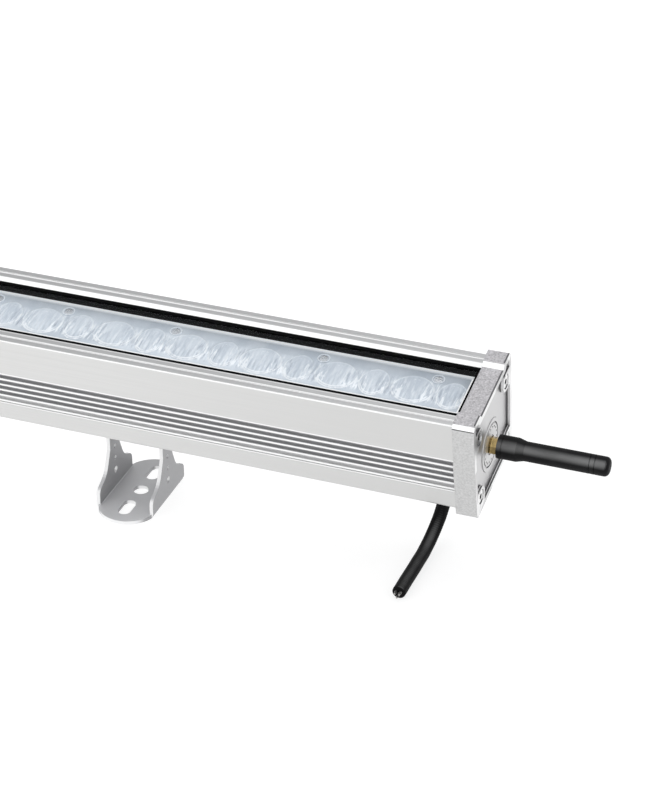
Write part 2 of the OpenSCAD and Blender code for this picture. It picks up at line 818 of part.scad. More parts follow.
// Open-topped aluminium box of the LED driver, seated on the slot's roof
module driver_case() {
    color(anodised) in_lamp() translate([driver_x, -driver_w / 2, slot_box_top + pad_gap])
        difference() {
            cube([driver_l, driver_w, driver_h]);
            translate([driver_skin, driver_skin, driver_skin])
                cube([driver_l - 2 * driver_skin, driver_w - 2 * driver_skin, driver_h]);
        }
}

module driver_potting() {
    color(seal_black) in_lamp()
        translate([driver_x + driver_skin, driver_skin - driver_w / 2,
            slot_box_top + pad_gap + driver_skin])
            cube([driver_l - 2 * driver_skin, driver_w - 2 * driver_skin,
                driver_h - 2 * driver_skin]);
}

module radio_board() {
    color(board_green) in_lamp() translate([radio_x, -radio_w / 2, slot_box_top + pad_gap])
        cube([radio_l, radio_w, radio_t]);
}

// Shield can of the radio receiver, and the small plug that takes the antenna's lead
module radio_shield() {
    color(steel) in_lamp() translate([radio_x, 0, slot_box_top + pad_gap + radio_t]) {
        translate([radio_t, -shield_w / 2, 0]) cube([shield_l, shield_w, shield_h]);
        translate([radio_t + shield_l + plug_gap, -plug_r, 0])
            cube([plug_l, 2 * plug_r, 2 * plug_r]);
    }
}

module antenna_lead() {
    color(seal_black) in_lamp()
        tube(run_between(antenna_lead_from, antenna_lead_to, antenna_lead_shares),
            antenna_lead_r, lead_sides, [0, 1, 0]);
}

module antenna_socket() {
    color(brass) on_antenna_axis() difference() {
        union() {
            translate([0, 0, -socket_in]) cylinder(h = socket_in + socket_out, r = thread_r);
            hex_bar(socket_flange_af, socket_flange_t);
            translate([0, 0, -socket_in - socket_tail_l])
                cylinder(h = socket_tail_l, r = socket_tail_r);
        }
        translate([0, 0, socket_out - socket_bore_d])
            cylinder(h = socket_bore_d + cut, r = socket_bore_r);
    }
}

module socket_nut() {
    color(brass) on_antenna_axis()
        translate([0, 0, -cap_wall - socket_washer_t - socket_nut_t]) difference() {
            hex_bar(socket_flange_af, socket_nut_t);
            translate([0, 0, -cut])
                cylinder(h = socket_nut_t + 2 * cut, r = thread_r + screw_clear);
        }
}

module socket_washer() {
    color(steel) on_antenna_axis() translate([0, 0, -cap_wall - socket_washer_t])
        difference() {
            cylinder(h = socket_washer_t, r = socket_washer_r);
            translate([0, 0, -cut])
                cylinder(h = socket_washer_t + 2 * cut, r = thread_r + screw_clear);
        }
}

// Places a gland piece that is drawn downwards from the housing's underside
module on_gland() {
    in_lamp() translate([gland_x, gland_y, 0]) mirror([0, 0, 1]) children();
}

module gland_body() {
    color(seal_black) on_gland() difference() {
        union() {
            translate([0, 0, -gland_thread_l])
                cylinder(h = gland_thread_l + gland_body_l, r = gland_thread_r);
            hex_bar(gland_hex_af, gland_hex_h);
        }
        translate([0, 0, -gland_thread_l - cut])
            cylinder(h = gland_thread_l + gland_body_l + 2 * cut, r = gland_bore_r);
    }
}

module gland_seal() {
    color(seal_black) on_gland() translate([0, 0, gland_body_l]) difference() {
        cylinder(h = gland_skirt_l, r = gland_thread_r);
        translate([0, 0, -cut])
            cylinder(h = gland_skirt_l + 2 * cut, r = cable_r + gland_seal_gap);
    }
}

// Domed nut that squeezes the seal, narrowing to the cable
module gland_nut() {
    dome_z = gland_body_l + gland_skirt_l;
    color(seal_black) on_gland() difference() {
        union() {
            translate([0, 0, gland_hex_h + run_gap])
                cylinder(h = dome_z - gland_hex_h - run_gap, r = gland_nut_r);
            translate([0, 0, dome_z])
                cylinder(h = gland_l - dome_z, r1 = gland_nut_r, r2 = gland_tip_r);
        }
        translate([0, 0, gland_hex_h])
            cylinder(h = dome_z - gland_hex_h, r = gland_thread_r + screw_clear);
        translate([0, 0, gland_hex_h])
            cylinder(h = gland_l, r = cable_r + gland_seal_gap);
    }
}

module gland_lock_nut() {
    color(seal_black) on_gland() translate([0, 0, -wall - lock_nut_t])
        difference() {
            hex_bar(lock_nut_af, lock_nut_t);
            translate([0, 0, -cut])
                cylinder(h = lock_nut_t + 2 * cut, r = gland_thread_r + screw_clear);
        }
}

// Lead from the cable to the driver: the cable's own cores, bundled in a sleeve
module supply_lead() {
    color(rubber_black) in_lamp() {
        tube(run_between(supply_lead_from, supply_lead_to, supply_lead_shares),
            supply_lead_r, lead_sides, [0, 1, 0]);
        translate([gland_x, gland_y, -gland_l])
            cylinder(h = gland_l + supply_lead_from[2] + cut, r = cable_r);
    }
}

module led_leads() {
    color(lead_red) in_lamp() for (side = [-1, 1]) translate([0, side * led_lead_gap / 2, 0])
        tube(run_between(led_lead_from, led_lead_to, led_lead_shares),
            led_lead_r, lead_sides, [0, 1, 0]);
}

module supply_cable() {
    color(rubber_black) tube(cable_route, cable_r, cable_sides, [1, 0, 0]);
}

// The cable's three cores, bared at their tips
module cable_cores() {
    last = len(cable_route) - 1;
    ahead = heading(cable_route, last);
    color(steel) translate(cable_route[last])
        rotate([0, 90, atan2(ahead[1], ahead[0])])
            for (i = [0 : core_count - 1]) rotate([0, 0, 360 * i / core_count])
                translate([core_spread, 0, 0]) {
                    cylinder(h = core_l, r = core_r);
                    cylinder(h = core_l + core_bare_l, r = core_bare_r);
                }
}

module antenna_sleeve() {
    base_r = sleeve_d / 2;
    rod_r = rod_d / 2;
    color(rubber_black) on_antenna_axis() translate([0, 0, antenna_gap]) difference() {
        rotate_extrude() polygon(concat([[0, 0], [base_r, 0],
            [base_r, collar_line_x], [base_r - sleeve_line_d, collar_line_x],
            [base_r - sleeve_line_d, collar_line_x + sleeve_line_w],
            [base_r, collar_line_x + sleeve_line_w], [base_r, collar_l],
            [rod_r, collar_l + taper_l]],
            [for (x = tip_line_xs) each [[rod_r, x], [rod_r - sleeve_line_d, x],
                [rod_r - sleeve_line_d, x + sleeve_line_w], [rod_r, x + sleeve_line_w]]],
            corner_arc([rod_r, collar_l + taper_l], [rod_r, sleeve_l], [0, sleeve_l], tip_r),
            [[0, sleeve_l]]));
        translate([0, 0, -cut]) cylinder(h = recess_end_x - antenna_gap + cut, r = recess_r);
        cylinder(h = recess_end_x - antenna_gap + core_grip, r = core_neck_r);
    }
}

// Brass core of the antenna: contact pin, flange that traps the nut, and neck
module antenna_core() {
    flange_x = nut_end_x - nut_wall - turn_gap - core_flange_t;
    color(brass) on_antenna_axis() union() {
        translate([0, 0, flange_x - core_pin_l])
            cylinder(h = core_pin_l + core_flange_t, r = core_pin_r);
        translate([0, 0, flange_x]) cylinder(h = core_flange_t, r = core_flange_r);
        translate([0, 0, flange_x])
            cylinder(h = recess_end_x + core_grip - flange_x, r = core_neck_r);
    }
}

module antenna_nut() {
    color(brass) on_antenna_axis() translate([0, 0, nut_x]) difference() {
        hex_bar(nut_af, nut_l);
        translate([0, 0, -cut])
            cylinder(h = nut_l - nut_wall + cut, r = thread_r + turn_gap);
        translate([0, 0, -cut]) cylinder(h = nut_l + 2 * cut, r = core_neck_r + turn_gap);
    }
}

// Copies a clamp piece to the right or to the left bracket's place in the slot
module at_clamp(half) {
    in_lamp() translate([half * bracket_x, 0, 0]) children();
}

// Draws a piece that points along +X once on each side
module each_side() {
    for (side = [0, 1]) mirror([side, 0, 0]) children();
}

// Corners of a U of sheet metal that opens along "rise"
function channel_corners(half_span, sheet, rise, bend) = [
    [-half_span, rise, 0], [-half_span, 0, bend], [half_span, 0, bend], [half_span, rise, 0],
    [half_span - sheet, rise, 0], [half_span - sheet, sheet, bend - sheet],
    [sheet - half_span, sheet, bend - sheet], [sheet - half_span, rise, 0]];

// Upper channel that hangs from the slot and carries the two tilt bolts
module hanger(half) {
    drop = pivot_drop + hanger_head_r;
    at_clamp(half) difference() {
        intersection() {
            translate([0, hanger_l / 2, -run_gap]) rotate([90, 0, 0])
                linear_extrude(hanger_l) mirror([0, 1])
                    polygon(rounded_outline(channel_corners(hanger_x, sheet_t, drop,
                        hanger_bend_r)));
            union() {
                translate([-hanger_x, 0, -pivot_drop]) rotate([0, 90, 0])
                    cylinder(h = 2 * hanger_x, r = hanger_head_r);
                translate([-hanger_x, 0, 0]) rotate([90, 0, 90])
                    linear_extrude(2 * hanger_x)
                        polygon([[-hanger_l / 2, 0], [-hanger_l / 2, -run_gap - 2 * sheet_t],
                            [-hanger_head_r, -pivot_drop], [hanger_head_r, -pivot_drop],
                            [hanger_l / 2, -run_gap - 2 * sheet_t], [hanger_l / 2, 0]]);
            }
        }
        translate([-hanger_x - cut, 0, -pivot_drop]) rotate([0, 90, 0])
            cylinder(h = 2 * (hanger_x + cut), r = bolt_r + screw_clear);
        translate([0, 0, -run_gap - sheet_t - cut])
            cylinder(h = sheet_t + 2 * cut, r = bolt_r + screw_clear);
    }
}

// Bolt with a T head that sits in the slot and reaches down through the hanger
module slot_bolt(half) {
    at_clamp(half) {
        translate([-slot_head_w / 2, -slot_head_l / 2, slot_lip_t + run_gap])
            cube([slot_head_w, slot_head_l, slot_head_h]);
        translate([0, 0, -run_gap - sheet_t - slot_nut_t - slot_bolt_end])
            cylinder(h = sheet_t + slot_nut_t + slot_bolt_end + slot_lip_t + 2 * run_gap
                + slot_head_h / 2, r = bolt_r);
    }
}

module slot_nut(half) {
    at_clamp(half) translate([0, 0, -run_gap - sheet_t - slot_nut_t]) difference() {
        rotate([0, 0, 30]) hex_bar(slot_nut_af, slot_nut_t);
        translate([0, 0, -cut]) cylinder(h = slot_nut_t + 2 * cut, r = bolt_r + screw_clear);
    }
}

module pivot_bolts(half) {
    at_clamp(half) translate([0, 0, -pivot_drop]) each_side()
        translate([ear_x + sheet_t + run_gap, 0, 0]) rotate([0, 90, 0]) {
            hex_bar(bolt_head_af, bolt_head_h);
            translate([0, 0, -bolt_l]) cylinder(h = bolt_l + bolt_head_h / 2, r = bolt_r);
        }
}

module pivot_washers(half) {
    at_clamp(half) translate([0, 0, -pivot_drop]) each_side()
        translate([hanger_x, 0, 0]) rotate([0, 90, 0]) difference() {
            cylinder(h = washer_t, r = washer_r);
            translate([0, 0, -cut])
                cylinder(h = washer_t + 2 * cut, r = bolt_r + screw_clear);
        }
}

module pivot_nuts(half) {
    at_clamp(half) translate([0, 0, -pivot_drop]) each_side()
        translate([hanger_x - sheet_t - nut_t, 0, 0]) rotate([0, 90, 0]) difference() {
            hex_bar(bolt_head_af, nut_t);
            translate([0, 0, -cut]) cylinder(h = nut_t + 2 * cut, r = bolt_r + screw_clear);
        }
}

// Side view of an ear: wide at the foot, a scooped waist and a round head on the pivot
module ear_section() {
    neck = ear_neck_w / 2;
    toe = ear_l / 2;
    scoop_x = neck + (toe - neck) * ear_flare_share;
    polygon(rounded_outline(both_sides([[toe, 0, 0], [toe, ear_toe_top_h, ear_toe_r],
        [scoop_x, ear_toe_top_h + ear_toe_r, ear_waist_h - ear_toe_top_h],
        [neck, ear_waist_h + ear_toe_r, 0], [neck, pivot_h, 0]])));
    translate([0, pivot_h]) circle(d = ear_head_d);
}

module foot_section() {
    round_r = foot_w / 2;
    intersection() {
        union() {
            for (side = [-1, 1]) translate([0, side * (foot_l / 2 - round_r)])
                circle(r = round_r);
            translate([-round_r, round_r - foot_l / 2]) square([foot_w, foot_l - foot_w]);
        }
        translate([-round_r + sheet_t / 2, -foot_l / 2])
            square([foot_w - sheet_t, foot_l]);
    }
}

// One sheet of metal: a foot with round ends, and two ears bent up from its sides
module bracket(half) {
    translate([half * bracket_x, 0, 0]) difference() {
        union() {
            intersection() {
                translate([0, ear_l / 2, 0]) rotate([90, 0, 0]) linear_extrude(ear_l)
                    polygon(rounded_outline(channel_corners(foot_w / 2, sheet_t,
                        pivot_h + ear_head_d, bend_r)));
                translate([-foot_w / 2, 0, 0]) rotate([90, 0, 90]) linear_extrude(foot_w)
                    ear_section();
            }
            linear_extrude(sheet_t) foot_section();
        }
        translate([-foot_w / 2 - cut, 0, pivot_h]) rotate([0, 90, 0])
            cylinder(h = foot_w + 2 * cut, r = bolt_r + turn_gap);
        for (i = [0 : len(index_hole_zs) - 1])
            translate([-foot_w / 2 - cut, 0, index_hole_zs[i]]) rotate([0, 90, 0])
                cylinder(h = foot_w + 2 * cut, r = index_hole_rs[i]);
        translate([0, 0, -cut]) linear_extrude(sheet_t + 2 * cut) {
            circle(d = centre_hole_d);
            for (side = [-1, 1]) translate([0, side * foot_slot_spacing / 2]) slot_hole();
        }
    }
}

module slot_hole() {
    straight = foot_slot_l - foot_slot_w;
    for (side = [-1, 1]) translate([0, side * straight / 2]) circle(d = foot_slot_w);
    translate([-foot_slot_w / 2, -straight / 2]) square([foot_slot_w, straight]);
}

module right_hanger() { color(steel) hanger(1); }
module right_slot_bolt() { color(steel) slot_bolt(1); }
module right_slot_nut() { color(steel) slot_nut(1); }
module right_pivot_bolts() { color(steel) pivot_bolts(1); }
module right_pivot_washers() { color(seal_black) pivot_washers(1); }
module right_pivot_nuts() { color(steel) pivot_nuts(1); }
module right_bracket() { color(sheet_grey) bracket(1); }
module left_hanger() { color(steel) hanger(-1); }
module left_slot_bolt() { color(steel) slot_bolt(-1); }
module left_slot_nut() { color(steel) slot_nut(-1); }
module left_pivot_bolts() { color(steel) pivot_bolts(-1); }
module left_pivot_washers() { color(seal_black) pivot_washers(-1); }
module left_pivot_nuts() { color(steel) pivot_nuts(-1); }
module left_bracket() { color(sheet_grey) bracket(-1); }

housing();
right_end_cap();
left_end_cap();
right_cap_gasket();
left_cap_gasket();
right_cap_screws();
left_cap_screws();
face_disc();
front_glass();
glass_seal();
right_lens_panel();
left_lens_panel();
lens_screws();
right_led_board();
left_led_board();
right_leds();
left_leds();
driver_case();
driver_potting();
radio_board();
radio_shield();
antenna_lead();
antenna_socket();
socket_nut();
socket_washer();
gland_body();
gland_seal();
gland_nut();
gland_lock_nut();
supply_lead();
led_leads();
supply_cable();
cable_cores();
antenna_sleeve();
antenna_core();
antenna_nut();
right_hanger();
right_slot_bolt();
right_slot_nut();
right_pivot_bolts();
right_pivot_washers();
right_pivot_nuts();
right_bracket();
left_hanger();
left_slot_bolt();
left_slot_nut();
left_pivot_bolts();
left_pivot_washers();
left_pivot_nuts();
left_bracket();
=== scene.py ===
"""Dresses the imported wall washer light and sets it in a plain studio.

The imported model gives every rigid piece. This script lays the supply cable, moulds the two
lens panels, gives each piece its finish, and adds the floor, the light and the camera. All
lengths are in metres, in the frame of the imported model: +X along the bar towards the
antenna, -Y to the front, +Z up from the ground.
"""

import logging
import math
from dataclasses import dataclass, field
from enum import Enum
from typing import Iterable, Sequence

import bpy
from mathutils import Matrix, Vector


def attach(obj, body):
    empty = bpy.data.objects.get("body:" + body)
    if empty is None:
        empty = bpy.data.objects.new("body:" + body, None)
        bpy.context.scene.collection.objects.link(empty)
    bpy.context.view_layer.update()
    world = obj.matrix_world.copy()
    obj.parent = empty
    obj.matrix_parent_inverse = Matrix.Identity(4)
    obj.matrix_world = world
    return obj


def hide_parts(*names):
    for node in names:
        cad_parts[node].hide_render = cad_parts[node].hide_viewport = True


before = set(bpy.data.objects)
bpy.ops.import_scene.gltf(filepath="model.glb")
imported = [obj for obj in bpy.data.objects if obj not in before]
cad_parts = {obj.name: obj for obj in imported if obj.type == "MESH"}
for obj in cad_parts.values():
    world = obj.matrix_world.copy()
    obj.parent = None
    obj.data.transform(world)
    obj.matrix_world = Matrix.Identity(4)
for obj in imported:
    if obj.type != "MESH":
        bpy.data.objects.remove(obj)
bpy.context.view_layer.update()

log = logging.getLogger("wall_washer")

Rgb = tuple[float, float, float]
Point = tuple[float, float, float]
Band = tuple[float, float]

MM = 0.001
REST_TILT = math.radians(10.2)
PIVOT_HEIGHT = 0.042
PIVOT_DROP = 0.013
IN_LAMP = (
    Matrix.Translation((0, 0, PIVOT_HEIGHT))
    @ Matrix.Rotation(REST_TILT, 4, "X")
    @ Matrix.Translation((0, 0, PIVOT_DROP))
)
LENS_ROW_END = 488.8 * MM
LENSES_PER_HALF = 24
LENS_PITCH = LENS_ROW_END / LENSES_PER_HALF
WIDE_LENS = (11.3 * MM, 10.4 * MM)
NARROW_LENS = (7.8 * MM, 10.3 * MM)
LAMP_BODY = "lamp"
PACKED_CREASE = math.radians(28)
NEW_CREASE = math.radians(50)


class Signal:
    """One output of a shader node. Arithmetic on it adds Math nodes."""

    def __init__(self, graph: "Graph", node: bpy.types.Node, key: int | str = 0) -> None:
        """Wraps an output.

        Args:
            graph: The node tree that holds the node.
            node: The node.
            key: Name or number of its output.
        """
        self.graph = graph
        self.node = node
        self.key = key

    @property
    def socket(self) -> bpy.types.NodeSocket:
        """The wrapped output."""
        return self.node.outputs[self.key]

    def pick(self, key: int | str) -> "Signal":
        """Returns another output of the same node."""
        return Signal(self.graph, self.node, key)

    def _math(self, operation: str, *values: "Signal | float") -> "Signal":
        """Returns the output of a new Math node."""
        return self.graph.node("ShaderNodeMath", {"operation": operation}, dict(enumerate(values)))

    def __add__(self, other: "Signal | float") -> "Signal":
        """Returns self + other."""
        return self._math("ADD", self, other)

    def __sub__(self, other: "Signal | float") -> "Signal":
        """Returns self - other."""
        return self._math("SUBTRACT", self, other)

    def __rsub__(self, other: float) -> "Signal":
        """Returns other - self."""
        return self._math("SUBTRACT", other, self)

    def __mul__(self, other: "Signal | float") -> "Signal":
        """Returns self * other."""
        return self._math("MULTIPLY", self, other)

    def __truediv__(self, other: "Signal | float") -> "Signal":
        """Returns self / other."""
        return self._math("DIVIDE", self, other)

    def __pow__(self, other: "Signal | float") -> "Signal":
        """Returns self ** other."""
        return self._math("POWER", self, other)

    __radd__ = __add__
    __rmul__ = __mul__

    def __abs__(self) -> "Signal":
        """Returns the signal without its sign."""
        return self._math("ABSOLUTE", self)

    def bounced(self, width: float) -> "Signal":
        """Returns the signal going up to a width and back to 0, over and over."""
        return self._math("PINGPONG", self, width)

    def above(self, level: float) -> "Signal":
        """Returns 1 where the signal is greater than a level, and 0 elsewhere."""
        return self._math("GREATER_THAN", self, level)

    def below(self, level: float) -> "Signal":
        """Returns 0 where the signal is greater than a level, and 1 elsewhere."""
        return 1 - self.above(level)

    def spread(self, low: float, high: float) -> "Signal":
        """Stretches the signal.

        Args:
            low: The level that becomes 0.
            high: The level that becomes 1. It may be the lower of the two.

        Returns:
            The stretched signal, held between 0 and 1.
        """
        return self.graph.node(
            "ShaderNodeMapRange", {"clamp": True},
            {"Value": self, "From Min": low, "From Max": high},
        )

    def fade(self, low: float, high: float) -> "Signal":
        """Returns 1 where the signal is at most low, falling to 0 at high."""
        return 1 - self.spread(low, high)

    def held(self) -> "Signal":
        """Returns the signal, held between 0 and 1."""
        return self.spread(0, 1)


class Graph:
    """The node tree of one material."""

    def __init__(self, name: str) -> None:
        """Starts an empty tree in a new material.

        Args:
            name: The material's name.
        """
        self.material = bpy.data.materials.new(name)
        self.material.use_nodes = True
        self.tree = self.material.node_tree
        self.tree.nodes.clear()

    def node(self, kind: str, settings: dict | None = None, inputs: dict | None = None) -> Signal:
        """Adds a node.

        Args:
            kind: The node's type.
            settings: Its settings by name.
            inputs: Values or signals by the name or number of their sockets.

        Returns:
            The node's first output.
        """
        made = self.tree.nodes.new(kind)
        for name, value in (settings or {}).items():
            setattr(made, name, value)
        for key, value in (inputs or {}).items():
            if isinstance(value, Signal):
                self.tree.links.new(value.socket, made.inputs[key])
            else:
                made.inputs[key].default_value = value
        return Signal(self, made)

    def place(self) -> Signal:
        """Returns each point's place at rest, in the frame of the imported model."""
        return self.node("ShaderNodeTexCoord").pick("Object")

    def normal(self) -> Signal:
        """Returns the way a surface faces at rest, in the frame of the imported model."""
        return self.node("ShaderNodeTexCoord").pick("Normal")

    def lamp_place(self) -> Signal:
        """Returns each point's place in the lamp's own upright frame, from its underside."""
        turned = self.upright(self.place(), (0, 0, PIVOT_HEIGHT))
        return self.vector("SUBTRACT", turned, (0, 0, PIVOT_HEIGHT + PIVOT_DROP))

    def lamp_normal(self) -> Signal:
        """Returns the way a surface faces, in the lamp's own upright frame."""
        return self.upright(self.normal(), (0, 0, 0))

    def upright(self, vector: Signal, centre: Point) -> Signal:
        """Returns a vector turned back by the lamp's lean, about a centre."""
        return self.node("ShaderNodeVectorRotate", {"rotation_type": "X_AXIS"},
                         {"Vector": vector, "Center": centre, "Angle": -REST_TILT})

    def vector(self, operation: str, first: Signal, second: Point) -> Signal:
        """Returns the output of a new Vector Math node."""
        return self.node("ShaderNodeVectorMath", {"operation": operation}, {0: first, 1: second})

    def open_air(self, reach: float) -> Signal:
        """Returns 1 in the open, falling in corners and holes with walls within reach."""
        return self.node("ShaderNodeAmbientOcclusion", {"samples": 6, "only_local": True},
                         {"Distance": reach}).pick("AO")

    def parts(self, vector: Signal) -> tuple[Signal, Signal, Signal]:
        """Returns the X, Y and Z of a vector."""
        split = self.node("ShaderNodeSeparateXYZ", {}, {0: vector})
        return split.pick("X"), split.pick("Y"), split.pick("Z")

    def grain(self, per_metre: Point, detail: float = 2.0, roughness: float = 0.5,
              along: Signal | None = None) -> Signal:
        """Adds smooth noise.

        Args:
            per_metre: Features in a metre along X, Y and Z.
            detail: Number of finer layers.
            roughness: Strength of the finer layers.
            along: The place to read it at, or None for the place at rest.

        Returns:
            The noise, from 0 to 1.
        """
        stretched = self.vector("MULTIPLY", along or self.place(), per_metre)
        return self.node(
            "ShaderNodeTexNoise", {"noise_dimensions": "3D"},
            {"Vector": stretched, "Scale": 1.0, "Detail": detail, "Roughness": roughness},
        )

    def blend(self, first: "Signal | Rgb", second: "Signal | Rgb", share: Signal) -> Signal:
        """Mixes two colours.

        Args:
            first: The colour where share is 0.
            second: The colour where share is 1.
            share: The share of the second colour.

        Returns:
            The mixed colour.
        """
        mixed = self.node(
            "ShaderNodeMix", {"data_type": "RGBA"},
            {0: share, 6: first if isinstance(first, Signal) else (*first, 1),
             7: second if isinstance(second, Signal) else (*second, 1)},
        )
        return mixed.pick(2)

    def two_tone(self, colour: Rgb, tones: Band, share: Signal) -> Signal:
        """Returns a colour in two tones, the first where share is 0 and the second where 1."""
        return self.blend(scaled(colour, tones[0]), scaled(colour, tones[1]), share)

    def relief(self, height: Signal, depth: float, edge: float = 0.0) -> Signal:
        """Adds a fine relief.

        Args:
            height: The relief, from 0 to 1.
            depth: Its depth in metres.
            edge: Radius by which sharp edges are rounded, or 0.

        Returns:
            The way the surface faces with the relief on it.
        """
        inputs = {"Strength": 1.0, "Distance": depth, "Height": height}
        if edge:
            inputs["Normal"] = self.node("ShaderNodeBevel", {"samples": 4}, {"Radius": edge})
        return self.node("ShaderNodeBump", {}, inputs)

    def surface(self, **values: "Signal | float | Rgb") -> Signal:
        """Adds a Principled shader.

        Args:
            **values: What its sockets hold, by their names with underscores for spaces.

        Returns:
            The shader.
        """
        inputs = {}
        for name, value in values.items():
            title = name.replace("_", " ").title().replace("Ior", "IOR")
            inputs[title] = (*value, 1) if isinstance(value, tuple) else value
        return self.node("ShaderNodeBsdfPrincipled", {}, inputs)

    def finish(self, shader: Signal) -> bpy.types.Material:
        """Ends the tree with a shader and returns the material."""
        self.node("ShaderNodeOutputMaterial", {}, {"Surface": shader})
        return self.material

    def solid(self, **values: "Signal | float | Rgb") -> bpy.types.Material:
        """Ends the tree with a Principled shader and returns the material."""
        return self.finish(self.surface(**values))


def scaled(colour: Rgb, share: float) -> Rgb:
    """Returns a colour made darker or brighter by a factor."""
    return tuple(c * share for c in colour)


@dataclass(frozen=True)
class Finish:
    """A surface finish, painted once and shared by the pieces that have it."""

    name: str

    def paint(self) -> bpy.types.Material:
        """Returns the finish's material, made at its first use."""
        return bpy.data.materials.get(self.name) or self.mix(Graph(self.name))

    def mix(self, graph: Graph) -> bpy.types.Material:
        """Builds the material.

        Args:
            graph: Its empty tree.

        Returns:
            The material, with its tree ended.
        """
        raise NotImplementedError


@dataclass(frozen=True)
class DrawnAluminium(Finish):
    """Satin anodised extrusion with fine lines along the bar, painted shade in the grooves, on the
    lips, on the channel wall and towards the right end, and painted highlights on the ribs, edges
    and channel.
    """

    tint: Rgb = (0.665, 0.665, 0.66)
    # Painted shade: colour of the lips' upward faces.
    lip_tint: Rgb = (0.50, 0.50, 0.505)
    # Painted shade: colour deep in the grooves.
    groove_tint: Rgb = (0.53, 0.53, 0.54)
    # Colour of the painted highlights.
    bright: Rgb = (0.99, 0.99, 0.99)
    # Colour of the painted shade on the channel wall.
    black: Rgb = (0.004, 0.004, 0.004)
    # Painted shade: where and how much the bar is painted darker towards its right end.
    far_to_near: Band = (0.3, 0.49)
    far_to_near_tones: Band = (1.03, 0.94)
    line_grain: Point = (9, 2600, 2600)
    line_tone: float = 0.93
    line_contrast: Band = (0.35, 0.75)
    line_weight: float = 0.6
    line_depth: float = 0.012 * MM
    cloud_grain: Point = (7, 26, 26)
    cloud_weight: float = 0.3
    roughness: float = 0.26
    edge: float = 0.45 * MM
    half_width: float = 28.8 * MM
    side_lean: float = 1.6 * MM
    lean_height: float = 28 * MM
    groove: Band = (0.1 * MM, 2.6 * MM)
    groove_curve: float = 0.6
    groove_end: float = 3 * MM
    lowest_groove_top: float = 18 * MM
    lowest_groove_light: float = 0.55
    lowest_rib: Band = (12 * MM, 12.1 * MM)
    highest_rib: Band = (33.4 * MM, 33.5 * MM)
    rib_tip: Band = (0.15 * MM, 0.45 * MM)
    lip_height: float = 54.9 * MM
    lip_line: float = 24.6 * MM
    lip_line_half: Band = (0.49 * MM, 0.7 * MM)
    lip_inner: float = 21.3 * MM
    lip_inner_light: float = 0.8
    lip_shade_off: float = 0.95 * MM
    lip_shade_half: Band = (0.2 * MM, 0.5 * MM)
    lip_shade_weight: float = 0.6
    lip_groove_weight: float = 0.5
    facing_up: Band = (0.8, 0.95)
    slanting: Band = (0.22, 0.4)
    slant_low: float = 51.9 * MM
    channel_half: float = 19.2 * MM
    channel_low: float = 48 * MM
    sealed_low: float = 53.2 * MM

    def mix(self, graph: Graph) -> bpy.types.Material:
        """Builds the material.

        Args:
            graph: Its empty tree.

        Returns:
            The material, with its tree ended.
        """
        lines = graph.grain(self.line_grain, detail=3, roughness=0.6)
        cloud = graph.grain(self.cloud_grain)
        along, across, up = graph.parts(graph.lamp_place())
        _, faces_side, faces_up = graph.parts(graph.lamp_normal())
        aside = abs(across)
        lean = (1 - up / self.lean_height).held() * self.side_lean
        inward = self.half_width - lean - aside
        # Painted shade in the grooves, darkest deep in each groove.
        groove_shade_share = (inward.spread(*self.groove) ** self.groove_curve
                     * inward.below(self.groove_end) * up.below(self.highest_rib[0]))
        # Painted highlight on the tips of the ribs.
        rib = up.spread(*self.lowest_rib) * up.fade(*self.highest_rib) * inward.fade(*self.rib_tip)
        high = up.above(self.lip_height)
        lip = high * faces_up.spread(*self.facing_up)
        # Painted highlights: a bright line along each lip and along its inner edge.
        line = high * abs(aside - self.lip_line).fade(*self.lip_line_half)
        inner_edge = lip * aside.below(self.lip_inner)
        # Painted shade: a thin dark line beside each lip line.
        shade = self.lip_shade(across) * lip
        # Painted light: the channel wall inside the window is painted bright, and above sealed_low
        # it is painted black as painted shade.
        channel = aside.below(self.channel_half) * up.above(self.channel_low)
        channel_wall_shade = channel * up.above(self.sealed_low)
        # Painted highlight on the upward slanting bevels near the top.
        slant = (faces_up * abs(faces_side)).spread(*self.slanting) * up.above(self.slant_low)
        # All the painted highlights, which turn the surface a bright non-metal white.
        painted_highlight = ((slant + line + rib + channel + inner_edge * self.lip_inner_light)
                 * (1 - channel_wall_shade)).held()
        # Painted shade towards the right end, under the fine lines and clouds.
        plain = graph.blend(
            graph.two_tone(self.tint, self.far_to_near_tones, along.spread(*self.far_to_near)),
            scaled(self.tint, self.line_tone),
            lines.spread(*self.line_contrast) * self.line_weight + cloud * self.cloud_weight,
        )
        # Painted shade: the lips' upward faces and the lines beside the lip lines are painted
        # darker.
        lipped = graph.blend(plain, self.lip_tint, lip + shade * self.lip_shade_weight)
        # Painted shade in the grooves, painted lighter in the lowest groove.
        groove = graph.blend(self.groove_tint, self.bright,
                             up.below(self.lowest_groove_top) * self.lowest_groove_light)
        grooved = graph.blend(lipped, groove, groove_shade_share + shade * self.lip_groove_weight)
        base = graph.blend(grooved, self.black, channel_wall_shade)
        return graph.solid(
            base_color=graph.blend(base, self.bright, painted_highlight),
            metallic=1 - (painted_highlight + channel_wall_shade) * 0.9,
            roughness=self.roughness + lines * 0.1 + cloud * 0.05 - painted_highlight * 0.08,
            normal=graph.relief(lines, self.line_depth, self.edge),
        )

    def lip_shade(self, across: Signal) -> Signal:
        """Marks the thin painted shade line behind each lip's painted highlight line.

        Args:
            across: The place across the bar.

        Returns:
            1 on the painted shade lines and 0 away from them.
        """
        front = across + self.lip_line + self.lip_shade_off
        back = across - self.lip_line + self.lip_shade_off
        return abs(back).fade(*self.lip_shade_half) + abs(front).fade(*self.lip_shade_half)


